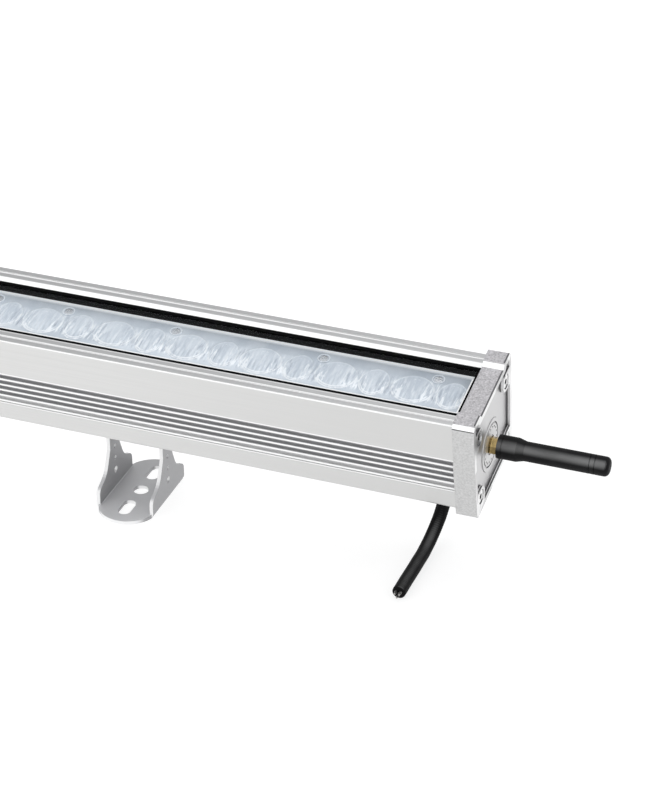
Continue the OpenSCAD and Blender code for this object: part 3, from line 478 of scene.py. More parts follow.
@dataclass(frozen=True)
class BlastedCasting(Finish):
    """Bead-blasted cast aluminium, speckled, with a smooth machined face, painted lighter sides,
    painted highlights on the chamfers, painted shade lines and a painted reflection.
    """

    tint: Rgb = (0.47, 0.46, 0.475)
    # Painted light: the front and back faces are painted lighter than the top.
    side_tint: Rgb = (0.575, 0.575, 0.575)
    face_tint: Rgb = (0.62, 0.617, 0.62)
    # Colour of the painted shade lines.
    dark: Rgb = (0.10, 0.10, 0.105)
    # Colour of the painted highlights.
    bright: Rgb = (0.96, 0.96, 0.96)
    # Colour of the painted reflection.
    mirrored: Rgb = (0.27, 0.27, 0.268)
    speckle_tones: Band = (0.50, 1.50)
    side_speckle_tones: Band = (0.80, 1.22)
    speckle_contrast: Band = (0.3, 0.7)
    bead: float = 1.0 * MM
    beads_in_coarse: float = 4
    bead_depth: float = 0.12 * MM
    edge: float = 0.35 * MM
    roughness: float = 0.42
    face_place: float = 497.5 * MM
    wall_top: float = 498.75 * MM
    edge_place: float = 499.15 * MM
    middle_height: float = 28 * MM
    under_chamfer: float = 55.9 * MM
    chamfer_top: Band = (58.2 * MM, 58.4 * MM)
    facing: Band = (0.85, 0.97)
    facing_up: Band = (0.8, 0.9)
    slanting: Band = (0.3, 0.42)
    crevice_reach: float = 1.2 * MM
    crevice: Band = (0.35, 0.85)
    crevice_weight: float = 0.8
    line_weight: float = 0.92
    face_weight: float = 0.9
    ledge_light: float = 0.8
    mirrored_height: float = 30.4 * MM
    mirrored_slope: float = 0.6
    mirrored_half: Band = (1 * MM, 11 * MM)
    mirrored_end: Band = (-15 * MM, -5 * MM)
    mirrored_weight: float = 0.75

    def mix(self, graph: Graph) -> bpy.types.Material:
        """Builds the material.

        Args:
            graph: Its empty tree.

        Returns:
            The material, with its tree ended.
        """
        per_metre = 1 / self.bead
        beads = graph.grain((per_metre,) * 3, detail=3, roughness=0.75)
        coarse = graph.grain((per_metre / self.beads_in_coarse,) * 3)
        along, across, up = graph.parts(graph.lamp_place())
        faces_end, faces_side, faces_up = graph.parts(graph.lamp_normal())
        out = abs(along)
        end_on = abs(faces_end).spread(*self.facing)
        side_on = abs(faces_side).spread(*self.facing)
        slant = (faces_up * abs(faces_side)).spread(*self.slanting) * up.fade(*self.chamfer_top)
        inward = (across * faces_side + (up - self.middle_height) * faces_up) * -1
        inner = inward.above(0) * out.above(self.face_place)
        # Painted shade: dark lines on the recess walls, along the end face's top edge, under the
        # front chamfer, and in crevices found by ambient occlusion.
        wall = inner * out.below(self.wall_top)
        top_edge = faces_up.spread(*self.facing_up) * out.above(self.edge_place)
        under = side_on * up.above(self.under_chamfer)
        crevice = graph.open_air(self.crevice_reach).fade(*self.crevice)
        shade_lines = ((wall + top_edge + under) * (1 - end_on)
                 + crevice * self.crevice_weight).held() * self.line_weight
        smooth = (slant + end_on).held()
        speckle = beads.spread(*self.speckle_contrast) * 0.8 + coarse * 0.2
        blasted = graph.two_tone(self.tint, self.speckle_tones, speckle)
        # Painted light on the front and back faces.
        sides = graph.two_tone(self.side_tint, self.side_speckle_tones, speckle)
        faced = graph.blend(graph.blend(blasted, sides, side_on),
                            self.face_tint, end_on * self.face_weight)
        # Painted highlights on the chamfers and on the inward faces past the recess walls.
        pale = (slant + inner * out.above(self.wall_top) * self.ledge_light).held()
        lit = graph.blend(graph.blend(faced, self.bright, pale), self.dark, shade_lines)
        # Painted reflection: a soft darker band on the right end face.
        mirror = self.mirror(along, across, up) * end_on * self.mirrored_weight
        return graph.solid(
            base_color=graph.blend(lit, self.mirrored, mirror),
            metallic=0.85 - pale * 0.5,
            roughness=self.roughness + speckle * 0.12 - smooth * 0.12,
            normal=graph.relief((beads * 0.7 + coarse * 0.3) * (1 - smooth * 0.9),
                                self.bead_depth, self.edge),
        )

    def mirror(self, along: Signal, across: Signal, up: Signal) -> Signal:
        """Returns 1 on the soft painted reflection of the antenna's foot, a darker band by the
        front upper screw of the right end.
        """
        off = up + across * self.mirrored_slope - self.mirrored_height
        return abs(off).fade(*self.mirrored_half) * along.above(0) * across.fade(*self.mirrored_end)


@dataclass(frozen=True)
class PowderCoat(Finish):
    """Light grey powder coat with a faint orange peel, painted light towards the front, painted
    shade on the ears and in hollows, and painted highlights on the cut edges.
    """

    tint: Rgb = (0.50, 0.50, 0.51)
    # Painted shade: colour of the faces turned along the bar.
    ear_tint: Rgb = (0.36, 0.36, 0.37)
    # Colour of the painted highlights.
    bright: Rgb = (0.95, 0.95, 0.95)
    # Painted light: the foot is painted lighter from back to front.
    back_to_front: Band = (25 * MM, -25 * MM)
    back_to_front_tones: Band = (0.85, 1.65)
    cloud_grain: float = 60
    cloud_tone: float = 0.8
    cloud_weight: float = 0.4
    # Painted shade in hollows.
    hollow_tone: float = 0.3
    hollow_reach: float = 2 * MM
    hollow: Band = (0.3, 0.8)
    hollow_weight: float = 0.7
    facing: Band = (0.6, 0.85)
    roughness: float = 0.45
    peel_grain: float = 1400
    peel_depth: float = 0.02 * MM
    edge: float = 0.4 * MM

    def mix(self, graph: Graph) -> bpy.types.Material:
        """Builds the material.

        Args:
            graph: Its empty tree.

        Returns:
            The material, with its tree ended.
        """
        peel = graph.grain((self.peel_grain,) * 3)
        cloud = graph.grain((self.cloud_grain,) * 3)
        _, across, _ = graph.parts(graph.place())
        faces_end, faces_side, _ = graph.parts(graph.normal())
        # Painted highlight on the cut edges that face front and back.
        cut_edge_highlight = abs(faces_side).spread(*self.facing)
        # Painted shade: faces turned along the bar, the ears, are painted darker.
        ear_shade = abs(faces_end).spread(*self.facing)
        # Painted light growing from back to front.
        nearer = across.spread(*self.back_to_front)
        foot = graph.two_tone(self.tint, self.back_to_front_tones, nearer)
        plain = graph.blend(foot, self.ear_tint, ear_shade)
        clouded = graph.blend(plain, scaled(self.tint, self.cloud_tone), cloud * self.cloud_weight)
        # Painted shade in hollows and corners, found by ambient occlusion.
        hollow = graph.open_air(self.hollow_reach).fade(*self.hollow)
        shaded = graph.blend(clouded, scaled(self.tint, self.hollow_tone),
                             hollow * self.hollow_weight)
        return graph.solid(
            base_color=graph.blend(shaded, self.bright, cut_edge_highlight),
            metallic=0.35 - cut_edge_highlight * 0.3,
            roughness=self.roughness + peel * 0.1,
            normal=graph.relief(peel, self.peel_depth, self.edge),
        )


@dataclass(frozen=True)
class TurnedMetal(Finish):
    """Machined metal with fine tool marks, painted light and shade that differ from facet to facet,
    and painted shade in its hollows.

    Faces across the bar that lie further in than socket_floor get painted shade too.
    """

    tint: Rgb = (0.80, 0.80, 0.81)
    roughness: float = 0.19
    contrast: float = 0.6
    hollow_weight: float = 2.0
    socket_floor: float = 0.0
    facet_scale: Point = (3.7, 3.1, 4.3)
    facet_contrast: Band = (0.4, 0.6)
    patch_grain: float = 180
    patch_contrast: Band = (0.3, 0.7)
    mark_grain: Point = (5000, 900, 900)
    mark_depth: float = 0.008 * MM
    edge: float = 0.15 * MM
    # Colour of the painted shade.
    hollow_tone: float = 0.06
    hollow_reach: float = 1.6 * MM
    hollow: Band = (0.45, 0.9)

    def mix(self, graph: Graph) -> bpy.types.Material:
        """Builds the material.

        Args:
            graph: Its empty tree.

        Returns:
            The material, with its tree ended.
        """
        marks = graph.grain(self.mark_grain)
        patch = graph.grain((self.patch_grain,) * 3, detail=3)
        facing = graph.normal()
        # Painted light and shade: each facet is painted its own brightness by the way it faces.
        facet_shade = graph.grain(self.facet_scale, detail=0, along=facing).spread(*self.facet_contrast)
        # Painted shade in hollows, found by ambient occlusion, and on the socket floors.
        dark = graph.open_air(self.hollow_reach).fade(*self.hollow) * self.hollow_weight
        if self.socket_floor:
            along, _, _ = graph.parts(graph.place())
            faces_end, _, _ = graph.parts(facing)
            dark = dark + abs(faces_end).above(0.5) * abs(along).below(self.socket_floor)
        plain = graph.blend(scaled(self.tint, 1 - self.contrast), self.tint,
                            facet_shade * 0.8 + patch.spread(*self.patch_contrast) * 0.2)
        return graph.solid(
            base_color=graph.blend(plain, scaled(self.tint, self.hollow_tone), dark.held()),
            metallic=1.0,
            roughness=self.roughness + patch * 0.14,
            normal=graph.relief(marks, self.mark_depth, self.edge),
        )


@dataclass(frozen=True)
class Moulded(Finish):
    """Moulded rubber or plastic with a fine texture, a few dust specks and a painted highlight
    band.

    bloom is the grey of a painted highlight band on faces turned towards bloom_way,
    and bloom_from is the cosine at which it begins.
    """

    tint: Rgb
    roughness: float = 0.5
    specular: float = 0.5
    edge: float = 0.3 * MM
    bloom: float = 0.0
    bloom_way: Point = (0.0, -0.616, 0.788)
    bloom_from: float = 0.75
    bloom_curve: float = 1.7
    texture_grain: float = 2500
    texture_depth: float = 0.02 * MM
    speck_grain: float = 90
    speck_contrast: Band = (0.45, 0.85)
    film_grain: Point = (50, 200, 200)
    film_contrast: Band = (0.2, 0.6)
    dust_tone: float = 1.1
    dust_lift: float = 0.001

    def mix(self, graph: Graph) -> bpy.types.Material:
        """Builds the material.

        Args:
            graph: Its empty tree.

        Returns:
            The material, with its tree ended.
        """
        texture = graph.grain((self.texture_grain,) * 3)
        # Painted highlight: a band on faces turned towards bloom_way, varied by sheen_variation.
        toward = graph.vector("DOT_PRODUCT", graph.lamp_normal(), self.bloom_way).pick("Value")
        upper = toward.spread(self.bloom_from, 1.0) ** self.bloom_curve
        specks = graph.grain((self.speck_grain,) * 3, detail=3).spread(*self.speck_contrast)
        sheen_variation = graph.grain(self.film_grain, detail=3).spread(*self.film_contrast)
        # Real dust specks plus the painted highlight band.
        dust_and_sheen = specks * 0.06 + upper * (sheen_variation * 0.5 + 0.5)
        dust_and_sheen_tint = tuple(c * self.dust_tone + self.dust_lift + self.bloom for c in self.tint)
        return graph.solid(
            base_color=graph.blend(self.tint, dust_and_sheen_tint, dust_and_sheen),
            roughness=self.roughness + texture * 0.08 + dust_and_sheen * 0.06,
            specular_ior_level=self.specular,
            normal=graph.relief(texture, self.texture_depth, self.edge),
        )


@dataclass(frozen=True)
class ClearGlass(Finish):
    """Clear toughened glass: its sheen, its black printed border and a painted highlight along the
    border's rim.
    """

    tint: Rgb = (0.965, 0.975, 0.985)
    sheen_tint: Rgb = (0.9, 0.93, 0.95)
    black: Rgb = (0.002, 0.002, 0.002)
    # Colour of the painted highlight.
    bright: Rgb = (0.97, 0.97, 0.975)
    roughness: float = 0.03
    smear_grain: Point = (16, 40, 40)
    sheen_curve: float = 5.0
    least_sheen: float = 0.012
    rim_sheen: float = 0.85
    upper_face: float = 52.6 * MM
    window_half: Band = (486.8 * MM, 16.4 * MM)
    rim_width: float = 0.7 * MM
    rim_back: float = 10.6 * MM

    def mix(self, graph: Graph) -> bpy.types.Material:
        """Builds the material.

        Args:
            graph: Its empty tree.

        Returns:
            The material, with its tree ended.
        """
        smear = graph.grain(self.smear_grain)
        facing = graph.node("ShaderNodeLayerWeight", {}, {"Blend": 0.5}).pick("Facing")
        place = graph.parts(graph.lamp_place())
        printed = self.outside(place, 0)
        # Painted highlight: a thin bright line along the inner edge of the printed border.
        rim = (self.outside(place, self.rim_width) - printed) * place[1].below(self.rim_back)
        sheen = (facing ** self.sheen_curve + self.least_sheen + rim * self.rim_sheen
                 + printed).held()
        clear = graph.node("ShaderNodeBsdfTransparent", {}, {"Color": (*self.tint, 1)})
        glossy = graph.surface(
            base_color=graph.blend(
                graph.blend(self.sheen_tint, self.bright, rim), self.black, printed),
            metallic=1 - (rim + printed) * 0.95,
            roughness=self.roughness + smear * 0.04,
            specular_ior_level=0.1,
        )
        return graph.finish(graph.node("ShaderNodeMixShader", {}, {0: sheen, 1: clear, 2: glossy}))

    def outside(self, place: tuple[Signal, Signal, Signal], grown: float) -> Signal:
        """Marks the upper face outside the window.

        Args:
            place: The place along the bar, across it and up.
            grown: How much further in than the window's edges the mark begins.

        Returns:
            1 on the marked part and 0 elsewhere.
        """
        along, across, up = place
        half_x, half_y = self.window_half
        ends = abs(along).above(half_x - grown)
        front = (across * -1).above(half_y - grown)
        return up.above(self.upper_face) * (ends + front).held()


@dataclass(frozen=True)
class LensAcrylic(Finish):
    """Clear fluted acrylic over a white board: grey-blue, with painted highlight streaks, painted
    highlights on the lens rims, painted shade and a painted glow.
    """

    tint: Rgb = (0.61, 0.655, 0.705)
    pale: Rgb = (0.77, 0.805, 0.84)
    # Colour of the painted highlights.
    bright: Rgb = (0.98, 0.985, 0.99)
    # Colour of the painted shade.
    shade: Rgb = (0.36, 0.395, 0.46)
    roughness: float = 0.12
    cloud_grain: Point = (110, 70, 70)
    cloud_contrast: Band = (0.35, 0.75)
    flow_grain: Point = (640, 105, 105)
    flow_depth: float = 0.12 * MM
    streak_light: Band = (0.53, 0.59)
    streak_dark: Band = (0.38, 0.46)
    hair_grain: Point = (1500, 150, 150)
    hair_light: Band = (0.5, 0.62)
    hair_weight: float = 0.55
    dark_weight: float = 0.8
    wide_joint: Band = (0.35, 0.85)
    narrow_joint: Band = (0.2, 0.85)
    between_half: Band = (6 * MM, 9 * MM)
    # Painted highlights grow stronger from back to front.
    back_to_front: Band = (9 * MM, -3 * MM)
    # Places of the painted highlight lines round the lenses, as shares of the way to their rims.
    rims: Band = (0.955, 0.84)
    rim_half: Band = (0.024, 0.056)
    break_grain: float = 330
    rim_breaks: Band = (0.42, 0.58)
    rim_back_to_front: Band = (5 * MM, -6 * MM)
    inner_rim_front: Band = (-2 * MM, -6 * MM)
    rim_weight: float = 0.95
    # Painted highlight on the raised rings round the panel screws.
    boss_from: float = 7.0 * MM
    boss_height: float = 49.63 * MM
    boss_weight: float = 0.62
    # Painted shade: the panel is painted darker towards the right end.
    darker_places: Band = (0.36, 0.49)
    darker_weight: float = 0.2
    # Painted light: a band along the back edge, painted bright and made to glow.
    edge_band: Band = (14.3 * MM, 16.6 * MM)
    edge_light: float = 0.5

    def mix(self, graph: Graph) -> bpy.types.Material:
        """Builds the material.

        Args:
            graph: Its empty tree.

        Returns:
            The material, with its tree ended.
        """
        place = graph.lamp_place()
        along, across, up = graph.parts(place)
        from_wide = (LENS_ROW_END + 0.5 * LENS_PITCH - along).bounced(LENS_PITCH)
        share_wide, wide_rim = self.reach(from_wide, across, WIDE_LENS)
        share_narrow, narrow_rim = self.reach(LENS_PITCH - from_wide, across, NARROW_LENS)
        lens = (wide_rim.below(1) + narrow_rim.below(1)).held()
        joints = share_wide.spread(*self.wide_joint) * share_narrow.spread(*self.narrow_joint)
        between = joints * abs(across).fade(*self.between_half)
        # Painted highlights and painted shade: bright and dark streaks in and between the lenses,
        # stronger towards the front.
        nearer = across.spread(*self.back_to_front)
        zone = (lens * (joints * 0.7 + 0.3) + between).held() * (nearer * 0.75 + 0.25)
        flow = graph.grain(self.flow_grain, detail=3, roughness=0.6, along=place)
        hairs = graph.grain(self.hair_grain, along=place).spread(*self.hair_light)
        fine = (lens * 0.7 + between).held() * (nearer * 0.6 + 0.1) * hairs
        streak_highlights = flow.spread(*self.streak_light) * zone + fine * self.hair_weight
        shades = flow.fade(*self.streak_dark) * zone * self.dark_weight
        # Painted highlights: broken bright lines round the lenses, stronger towards the front.
        breaks = graph.grain((self.break_grain,) * 3, along=place).spread(*self.rim_breaks)
        outer, inner = (self.ring(wide_rim, narrow_rim, share) for share in self.rims)
        rims = ((outer + inner * across.spread(*self.inner_rim_front)) * (breaks * 0.6 + 0.4)
                * (across.spread(*self.rim_back_to_front) * 0.75 + 0.4))
        # Painted light: the band along the back edge.
        edge = across.spread(*self.edge_band)
        # Painted highlight on the raised rings round the panel screws.
        boss = across.above(self.boss_from) * up.above(self.boss_height)
        # All the painted highlights.
        light = (streak_highlights + rims * self.rim_weight + boss * self.boss_weight + edge).held()
        cloud = graph.grain(self.cloud_grain, detail=3, along=place)
        clouded = graph.blend(self.tint, self.pale, cloud.spread(*self.cloud_contrast))
        # Painted shade towards the right end.
        plain = graph.blend(clouded, self.shade,
                            along.spread(*self.darker_places) * self.darker_weight)
        return graph.solid(
            base_color=graph.blend(graph.blend(plain, self.shade, shades), self.bright, light),
            roughness=self.roughness + flow * 0.06,
            specular_ior_level=0.5,
            coat_weight=0.5 + cloud * 0.3,
            coat_roughness=0.05,
            normal=graph.relief(flow * (lens * 0.8 + 0.2), self.flow_depth),
            # Painted glow along the back edge, though the panel gives no light.
            emission_color=graph.blend((0.0, 0.0, 0.0), self.bright, edge),
            emission_strength=self.edge_light,
        )

    def reach(self, off: Signal, across: Signal, half: Band) -> tuple[Signal, Signal]:
        """Returns how far a point lies from a lens's middle, as shares of the way to its rim.

        Args:
            off: Its distance from the middle along the bar.
            across: Its place across the bar.
            half: The lens's half widths along and across the bar.

        Returns:
            The share along the bar only, and the share both ways together.
        """
        share = off / half[0]
        side = across / half[1]
        return share, (share * share + side * side) ** 0.5

    def ring(self, wide_rim: Signal, narrow_rim: Signal, share: float) -> Signal:
        """Returns 1 on thin lines round both lenses, at a share of the way to their rims."""
        return (abs(wide_rim - share).fade(*self.rim_half)
                + abs(narrow_rim - share).fade(*self.rim_half))


ALUMINIUM = DrawnAluminium("anodised_extrusion")
CASTING = BlastedCasting("blasted_casting")
PLATE = BlastedCasting("blasted_plate", tint=(0.66, 0.65, 0.66), bead=0.4 * MM)
COAT = PowderCoat("grey_powder_coat")
STEEL = TurnedMetal("fastener_steel")
# CAP_SCREW paints shade on its socket floors.
CAP_SCREW = TurnedMetal("cap_screw_steel", tint=(0.93, 0.93, 0.93), contrast=0.35,
                        hollow_weight=1.0, socket_floor=499.3 * MM)
PANEL_SCREW = TurnedMetal("panel_screw_steel", tint=(0.97, 0.97, 0.98), contrast=0.3,
                          hollow_weight=0.5)
GILT = TurnedMetal("gilt_machined", tint=(1.0, 0.74, 0.32), roughness=0.09, contrast=0.85)
COPPER = TurnedMetal("tinned_copper", tint=(0.45, 0.44, 0.43), roughness=0.3)
SEAL = Moulded("black_silicone", tint=(0.001, 0.001, 0.0012), roughness=0.7, specular=0.05)
# The antenna's rubber and the cable's sheath get a painted highlight band.
RUBBER = Moulded("antenna_satin_rubber", tint=(0.009, 0.009, 0.0095), specular=0.07,
                 bloom=0.165, bloom_way=(0, -0.66, 0.751), bloom_from=0.82)
SHEATH = Moulded("cable_sheath", tint=(0.004, 0.004, 0.0045), specular=0.07,
                 bloom=0.1, bloom_way=(0.3, -0.2, 0.93), bloom_from=0.76)
NYLON = Moulded("black_nylon", tint=(0.02, 0.02, 0.02), roughness=0.45)
GLASS = ClearGlass("front_glass_clear")
ACRYLIC = LensAcrylic("lens_acrylic")
WHITE_MASK = Moulded("white_solder_mask", tint=(0.80, 0.81, 0.80), roughness=0.3)
GREEN_MASK = Moulded("green_solder_mask", tint=(0.03, 0.16, 0.07), roughness=0.3)
PHOSPHOR = Moulded("led_phosphor", tint=(0.85, 0.66, 0.18), roughness=0.25, edge=0.1 * MM)
INSULATION = Moulded("red_insulation", tint=(0.42, 0.03, 0.02), roughness=0.4)


class Side(Enum):
    """The two ends of the bar, by the sign of X."""

    RIGHT = 1
    LEFT = -1

    @property
    def label(self) -> str:
        """The side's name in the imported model."""
        return self.name.lower()


def dress(finishes: dict[Finish, str]) -> None:
    """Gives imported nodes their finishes.

    Args:
        finishes: The names of the nodes that have each finish, with spaces between them.
    """
    for finish, names in finishes.items():
        for name in names.split():
            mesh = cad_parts[name].data
            mesh.materials.clear()
            mesh.materials.append(finish.paint())
            mesh.shade_smooth()
            mesh.set_sharp_from_angle(angle=PACKED_CREASE)
            log.info("dressed %s in %s", name, finish.name)


def stand(name: str, data: bpy.types.ID) -> bpy.types.Object:
    """Puts a new object in the scene.

    Args:
        name: Its name.
        data: Its mesh, light or camera.

    Returns:
        The object.
    """
    made = bpy.data.objects.new(name, data)
    bpy.context.scene.collection.objects.link(made)
    return made


def turn_round(sides: int) -> list[float]:
    """Returns even angles round a circle."""
    return [2 * math.pi * k / sides for k in range(sides)]


def grid_faces(columns: int, rows: int) -> list[tuple[int, ...]]:
    """Lists the faces of a grid of points that are numbered row by row.

    Args:
        columns: Number of faces in a row.
        rows: Number of rows of faces.

    Returns:
        The faces.
    """
    wide = columns + 1
    return [(j * wide + i, j * wide + i + 1, (j + 1) * wide + i + 1, (j + 1) * wide + i)
            for j in range(rows) for i in range(columns)]


@dataclass
class Shape:
    """Points and faces of a mesh that is being built."""

    points: list[Vector] = field(default_factory=list)
    faces: list[tuple[int, ...]] = field(default_factory=list)

    def add(self, points: Iterable[Sequence[float]], faces: Iterable[Sequence[int]]) -> None:
        """Adds points and faces.

        Args:
            points: The points.
            faces: The faces, which number these points from 0.
        """
        start = len(self.points)
        self.points.extend(Vector(p) for p in points)
        self.faces.extend(tuple(start + i for i in f) for f in faces)

    def rings(self, rings: Sequence[Sequence[Sequence[float]]], closed: bool = False) -> None:
        """Skins rings of equal length, one after another.

        Args:
            rings: The rings, each a list of points.
            closed: True if the last ring joins the first, or else both ends are capped.
        """
        size, count = len(rings[0]), len(rings)
        faces: list[tuple[int, ...]] = []
        for i in range(count if closed else count - 1):
            a, b = i * size, (i + 1) % count * size
            faces += [(a + k, a + (k + 1) % size, b + (k + 1) % size, b + k) for k in range(size)]
        if not closed:
            faces += [tuple(reversed(range(size))), tuple(range((count - 1) * size, count * size))]
        self.add([p for ring in rings for p in ring], faces)

    def build(self, name: str, finish: Finish, slot: str, at: Matrix) -> bpy.types.Object:
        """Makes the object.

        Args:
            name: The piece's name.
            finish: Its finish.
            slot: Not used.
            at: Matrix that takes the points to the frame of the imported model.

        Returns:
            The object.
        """
        mesh = bpy.data.meshes.new(name)
        mesh.from_pydata([at @ p for p in self.points], [], self.faces)
        mesh.validate()
        mesh.shade_smooth()
        mesh.set_sharp_from_angle(angle=NEW_CREASE)
        mesh.materials.append(finish.paint())
        return stand(name, mesh)


@dataclass
class SupplyCable:
    """Round rubber cable that drops out of the gland and lies on the ground."""

    diameter: float = 7.2 * MM
    rib_pitch: float = 1.3 * MM
    rib_height: float = 0.05 * MM
    step: float = 0.33 * MM
    sides: int = 32
    end_round: float = 0.6 * MM
    route_mm: Sequence[Point] = (
        (469, 18, 38.1), (468.9, 18.39, 34.92), (468.8, 18.44, 31.72), (468.6, 18.13, 28.53),
        (468.3, 17.48, 25.4), (468, 16.5, 22.35), (467.6, 15.18, 19.43), (467.2, 13.56, 16.67),
        (466.8, 11.64, 14.11), (466.3, 9.45, 11.77), (465.9, 7.03, 9.68), (465.5, 4.39, 7.87),
        (465.2, 1.56, 6.36), (464.9, -1.41, 5.16), (464.7, -4.49, 4.3), (464.6, -7.65, 3.77),
        (464.5, -10.85, 3.6), (464.4, -15.73, 3.6), (464.4, -20.6, 3.6), (464.3, -25.48, 3.6),
        (464.2, -30.36, 3.6), (464.1, -35.24, 3.6), (464.1, -40.12, 3.6), (464, -45, 3.6),
    )

    def route(self) -> list[Vector]:
        """Runs a smooth line through the route's points.

        Returns:
            Close points on the line.
        """
        marks = [Vector(p) * MM for p in self.route_mm]
        ends = [2 * marks[0] - marks[1], *marks, 2 * marks[-1] - marks[-2]]
        line: list[Vector] = []
        for before, start, stop, after in zip(ends, ends[1:], ends[2:], ends[3:]):
            count = max(2, round((stop - start).length / self.step))
            for k in range(count):
                t = k / count
                line.append(0.5 * (2 * start + (stop - before) * t
                                   + (2 * before - 5 * start + 4 * stop - after) * t ** 2
                                   + (3 * start - before - 3 * stop + after) * t ** 3))
        return [*line, marks[-1]]

    def radius_at(self, run: float, total: float) -> float:
        """Works out the cable's radius, ribbed and rounded at its end.

        Args:
            run: A distance along the cable.
            total: The cable's length.

        Returns:
            The radius at that distance.
        """
        rib = 0.5 - 0.5 * math.cos(2 * math.pi * run / self.rib_pitch)
        rounded = max(0.0, self.end_round - max(0.0, total - run))
        drop = self.end_round - math.sqrt(max(0.0, self.end_round ** 2 - rounded ** 2))
        return self.diameter / 2 - self.rib_height * rib - drop

    def build(self) -> None:
        """Lays the cable and its bared cores."""
        line = self.route()
        total = sum((b - a).length for a, b in zip(line, line[1:]))
        rings, run = [], 0.0
        for i, point in enumerate(line):
            ahead = (line[min(i + 1, len(line) - 1)] - line[max(i - 1, 0)]).normalized()
            side = Vector((1, 0, 0))
            side = (side - ahead * side.dot(ahead)).normalized()
            up = side.cross(ahead)
            run += (point - line[i - 1]).length if i else 0.0
            radius = self.radius_at(run, total)
            rings.append([point + radius * (math.cos(a) * side + math.sin(a) * up)
                          for a in turn_round(self.sides)])
        shape = Shape()
        shape.rings(rings)
        cable = shape.build("supply_cable_sheath", SHEATH, "cable_rubber", Matrix())
        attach(cable, LAMP_BODY)
        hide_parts("supply_cable")
        dress({COPPER: "cable_cores"})
        log.info("supply cable: %.1f mm long", total / MM)


@dataclass
class LensPanels:
    """The two moulded panels of fluted lenses behind the front glass."""

    end: float = 488.5 * MM
    join_gap: float = 0.4 * MM
    lip: float = 0.35 * MM
    half_width: float = 18.85 * MM
    low: float = 47.3 * MM
    top: float = 49.3 * MM
    dome: float = 0.55 * MM
    flute_pitch: float = 2.4 * MM
    flute_depth: float = 0.26 * MM
    flute_middle: float = 0.62
    flute_change: float = 0.38
    flute_reach: float = 0.9
    flute_end_power: int = 6
    rim: float = 3.08 * MM
    rim_place: float = 0.95
    rim_width: float = 0.03
    root: float = 0.3 * MM
    grid: tuple[int, int] = (64, 40)
    screw_shares: tuple[int, ...] = (1, 4, 8, 11, 13, 16, 20, 23)
    screw_y: float = 10.5 * MM
    ring_out: float = 3.4 * MM
    ring_in: float = 2.75 * MM
    ring_height: float = 0.4 * MM
    ring_side: float = 0.28 * MM
    ring_bevel: float = 0.15 * MM
    ring_sides: int = 40

    def height(self, x: float, y: float, half: Band) -> float:
        """Works out how high a lens stands above the panel.

        Args:
            x: The place along the bar, from the lens's middle.
            y: The place across the bar, from the lens's middle.
            half: The lens's half widths along and across the bar.

        Returns:
            The height at that place.
        """
        r = min(1.0, math.hypot(x / half[0], y / half[1]))
        front = self.flute_middle - self.flute_change * y / half[1]
        flute = abs(math.sin(math.pi * x / self.flute_pitch))
        inside = max(0.0, 1 - (r / self.flute_reach) ** self.flute_end_power)
        ring = math.exp(-(((r - self.rim_place) / self.rim_width) ** 2))
        return (self.dome * (1 - r ** 2) + self.flute_depth * flute * inside * front
                + self.rim * ring * (1 - r))

    def lens(self, shape: Shape, x0: float, half: Band) -> None:
        """Adds one lens, a closed dome with an elliptic outline.

        Args:
            shape: The panel's shape.
            x0: Place of its middle along the bar.
            half: Its half widths along and across the bar.
        """
        columns, rows = self.grid
        points = []
        for j in range(rows + 1):
            for i in range(columns + 1):
                u, v = 2 * i / columns - 1, 2 * j / rows - 1
                x = half[0] * u * math.sqrt(1 - v * v / 2)
                y = half[1] * v * math.sqrt(1 - u * u / 2)
                points.append((x0 + x, y, self.top + self.height(x, y, half)))
        wide = columns + 1
        edge = [*range(columns), *(j * wide + columns for j in range(rows)),
                *(rows * wide + i for i in range(columns, 0, -1)),
                *(j * wide for j in range(rows, 0, -1))]
        faces = grid_faces(columns, rows)
        base = len(points)
        points += [(points[k][0], points[k][1], self.top - self.root) for k in edge]
        size = len(edge)
        faces += [(edge[k], base + k, base + (k + 1) % size, edge[(k + 1) % size])
                  for k in range(size)]
        faces.append(tuple(base + k for k in reversed(range(size))))
        shape.add(points, faces)

    def boss(self, shape: Shape, x0: float) -> None:
        """Adds the raised ring around one panel screw.

        Args:
            shape: The panel's shape.
            x0: Place of the screw along the bar.
        """
        profile = (
            (self.ring_in, -self.root),
            (self.ring_out, -self.root),
            (self.ring_out, self.ring_side),
            (self.ring_out - self.ring_bevel, self.ring_height),
            (self.ring_in + self.ring_bevel, self.ring_height),
            (self.ring_in, self.ring_side),
        )
        shape.rings(
            [[(x0 + radius * math.cos(a), self.screw_y + radius * math.sin(a), self.top + rise)
              for a in turn_round(self.ring_sides)] for radius, rise in profile],
            closed=True,
        )

    def build(self, side: Side) -> None:
        """Moulds one half's panel.

        Args:
            side: The half.
        """
        shape = Shape()
        near, far = side.value * self.join_gap / 2, side.value * self.end
        inset = side.value * self.lip
        outline = (
            (near, far, self.half_width, self.low),
            (near, far, self.half_width, self.top - self.lip),
            (near + inset, far - inset, self.half_width - self.lip, self.top),
        )
        shape.rings([[(start, -y, z), (stop, -y, z), (stop, y, z), (start, y, z)]
                     for start, stop, y, z in outline])
        for i in range(LENSES_PER_HALF):
            from_right = LENSES_PER_HALF - 1 - i if side is Side.RIGHT else LENSES_PER_HALF + i
            half = WIDE_LENS if from_right % 2 else NARROW_LENS
            self.lens(shape, side.value * (i + 0.5) * LENS_PITCH, half)
        for share in self.screw_shares:
            self.boss(shape, side.value * (LENSES_PER_HALF - share) * LENS_PITCH)
        name = f"{side.label}_lens_panel"
        panel = shape.build(f"{name}_moulding", ACRYLIC, "clear_plastic", IN_LAMP)
        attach(panel, LAMP_BODY)
        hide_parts(name)
        log.info("moulded %s with %d lenses", name, LENSES_PER_HALF)


